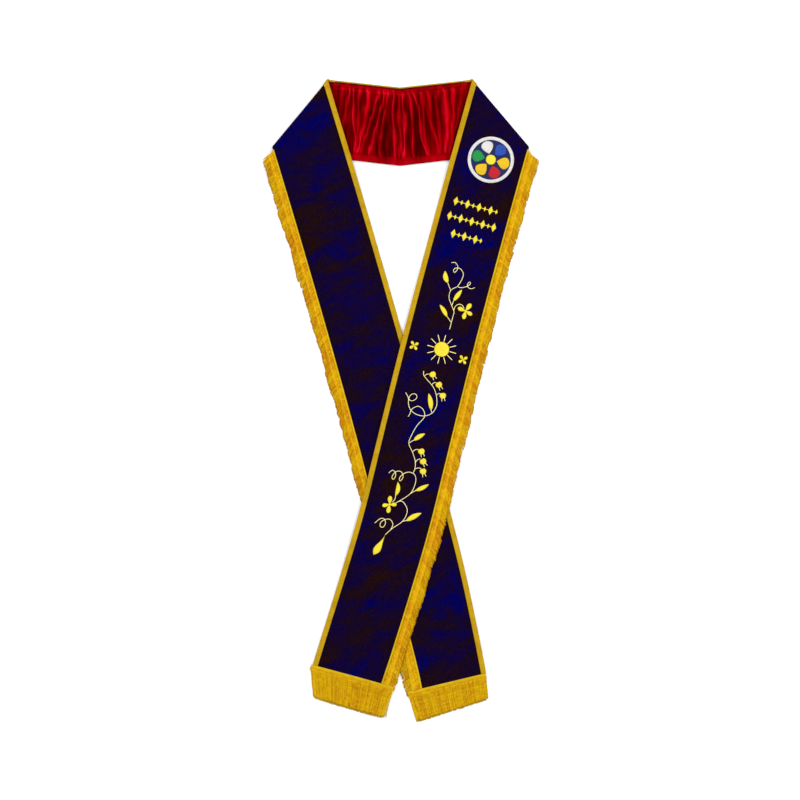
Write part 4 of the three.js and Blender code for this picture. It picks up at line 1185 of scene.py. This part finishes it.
stage = {"floorSize": 40.0, "floorDrop": 0.0004, "cameraHeight": 4.2, "frameSize": 1.072, "aimY": 0.67}
lights = {
    "name": ["keySoft", "fillSoft", "topSoft"],
    "place": [(-1.6, 2.0, 2.6), (1.9, 0.6, 2.4), (0.0, -0.4, 3.6)],
    "size": [1.6, 2.0, 2.4], "power": [47.0, 43.0, 30.0],
}


# Floor: plain white paper with a barely seen grain.
def makeFloor():
    material, tree, shader = newMaterial("paperWhite", Roughness=0.9, Specular_IOR_Level=0.1)
    tone = ramp(tree, noise(tree, objectPlace(tree), 300.0),
                [(0.0, (0.93, 0.93, 0.93)), (1.0, (0.97, 0.97, 0.97))])
    fill(tree, shader, {"Base Color": tone})
    half, drop = stage["floorSize"] / 2, stage["floorDrop"]
    corners = [(x * half, y * half, -drop) for x, y in ((-1, -1), (1, -1), (1, 1), (-1, 1))]
    mesh = bpy.data.meshes.new("floor")
    mesh.from_pydata(corners, [], [(0, 1, 2, 3)])
    mesh.materials.append(material)
    floor = bpy.data.objects.new("floor", mesh)
    bpy.context.collection.objects.link(floor)


# A square soft light that points at the middle of the frame.
def makeLight(row):
    data = bpy.data.lights.new(row["name"], "AREA")
    data.energy, data.size = row["power"], row["size"]
    light = bpy.data.objects.new(row["name"], data)
    bpy.context.collection.objects.link(light)
    light.location = row["place"]
    light.rotation_euler = (-light.location).to_track_quat("-Z", "Y").to_euler()


# Camera: straight down from above, with a long lens that takes in frameSize on the floor.
def makeCamera():
    data = bpy.data.cameras.new("camera")
    data.lens = data.sensor_width * stage["cameraHeight"] / stage["frameSize"]
    camera = bpy.data.objects.new("camera", data)
    bpy.context.collection.objects.link(camera)
    camera.location = (shift[0], stage["aimY"] * mm + shift[1], stage["cameraHeight"])
    bpy.context.scene.camera = camera


makeFloor()
makeCamera()
for row in rowsOf(lights):
    makeLight(row)
world = bpy.data.worlds.new("softWorld")
world.use_nodes = True
sky = world.node_tree.nodes["Background"]
fill(world.node_tree, sky, {"Color": (0.97, 0.98, 1.0, 1.0), "Strength": 0.75})
bpy.context.scene.world = world
bpy.context.scene.view_settings.view_transform = "Standard"
print("stage, lights and camera made")
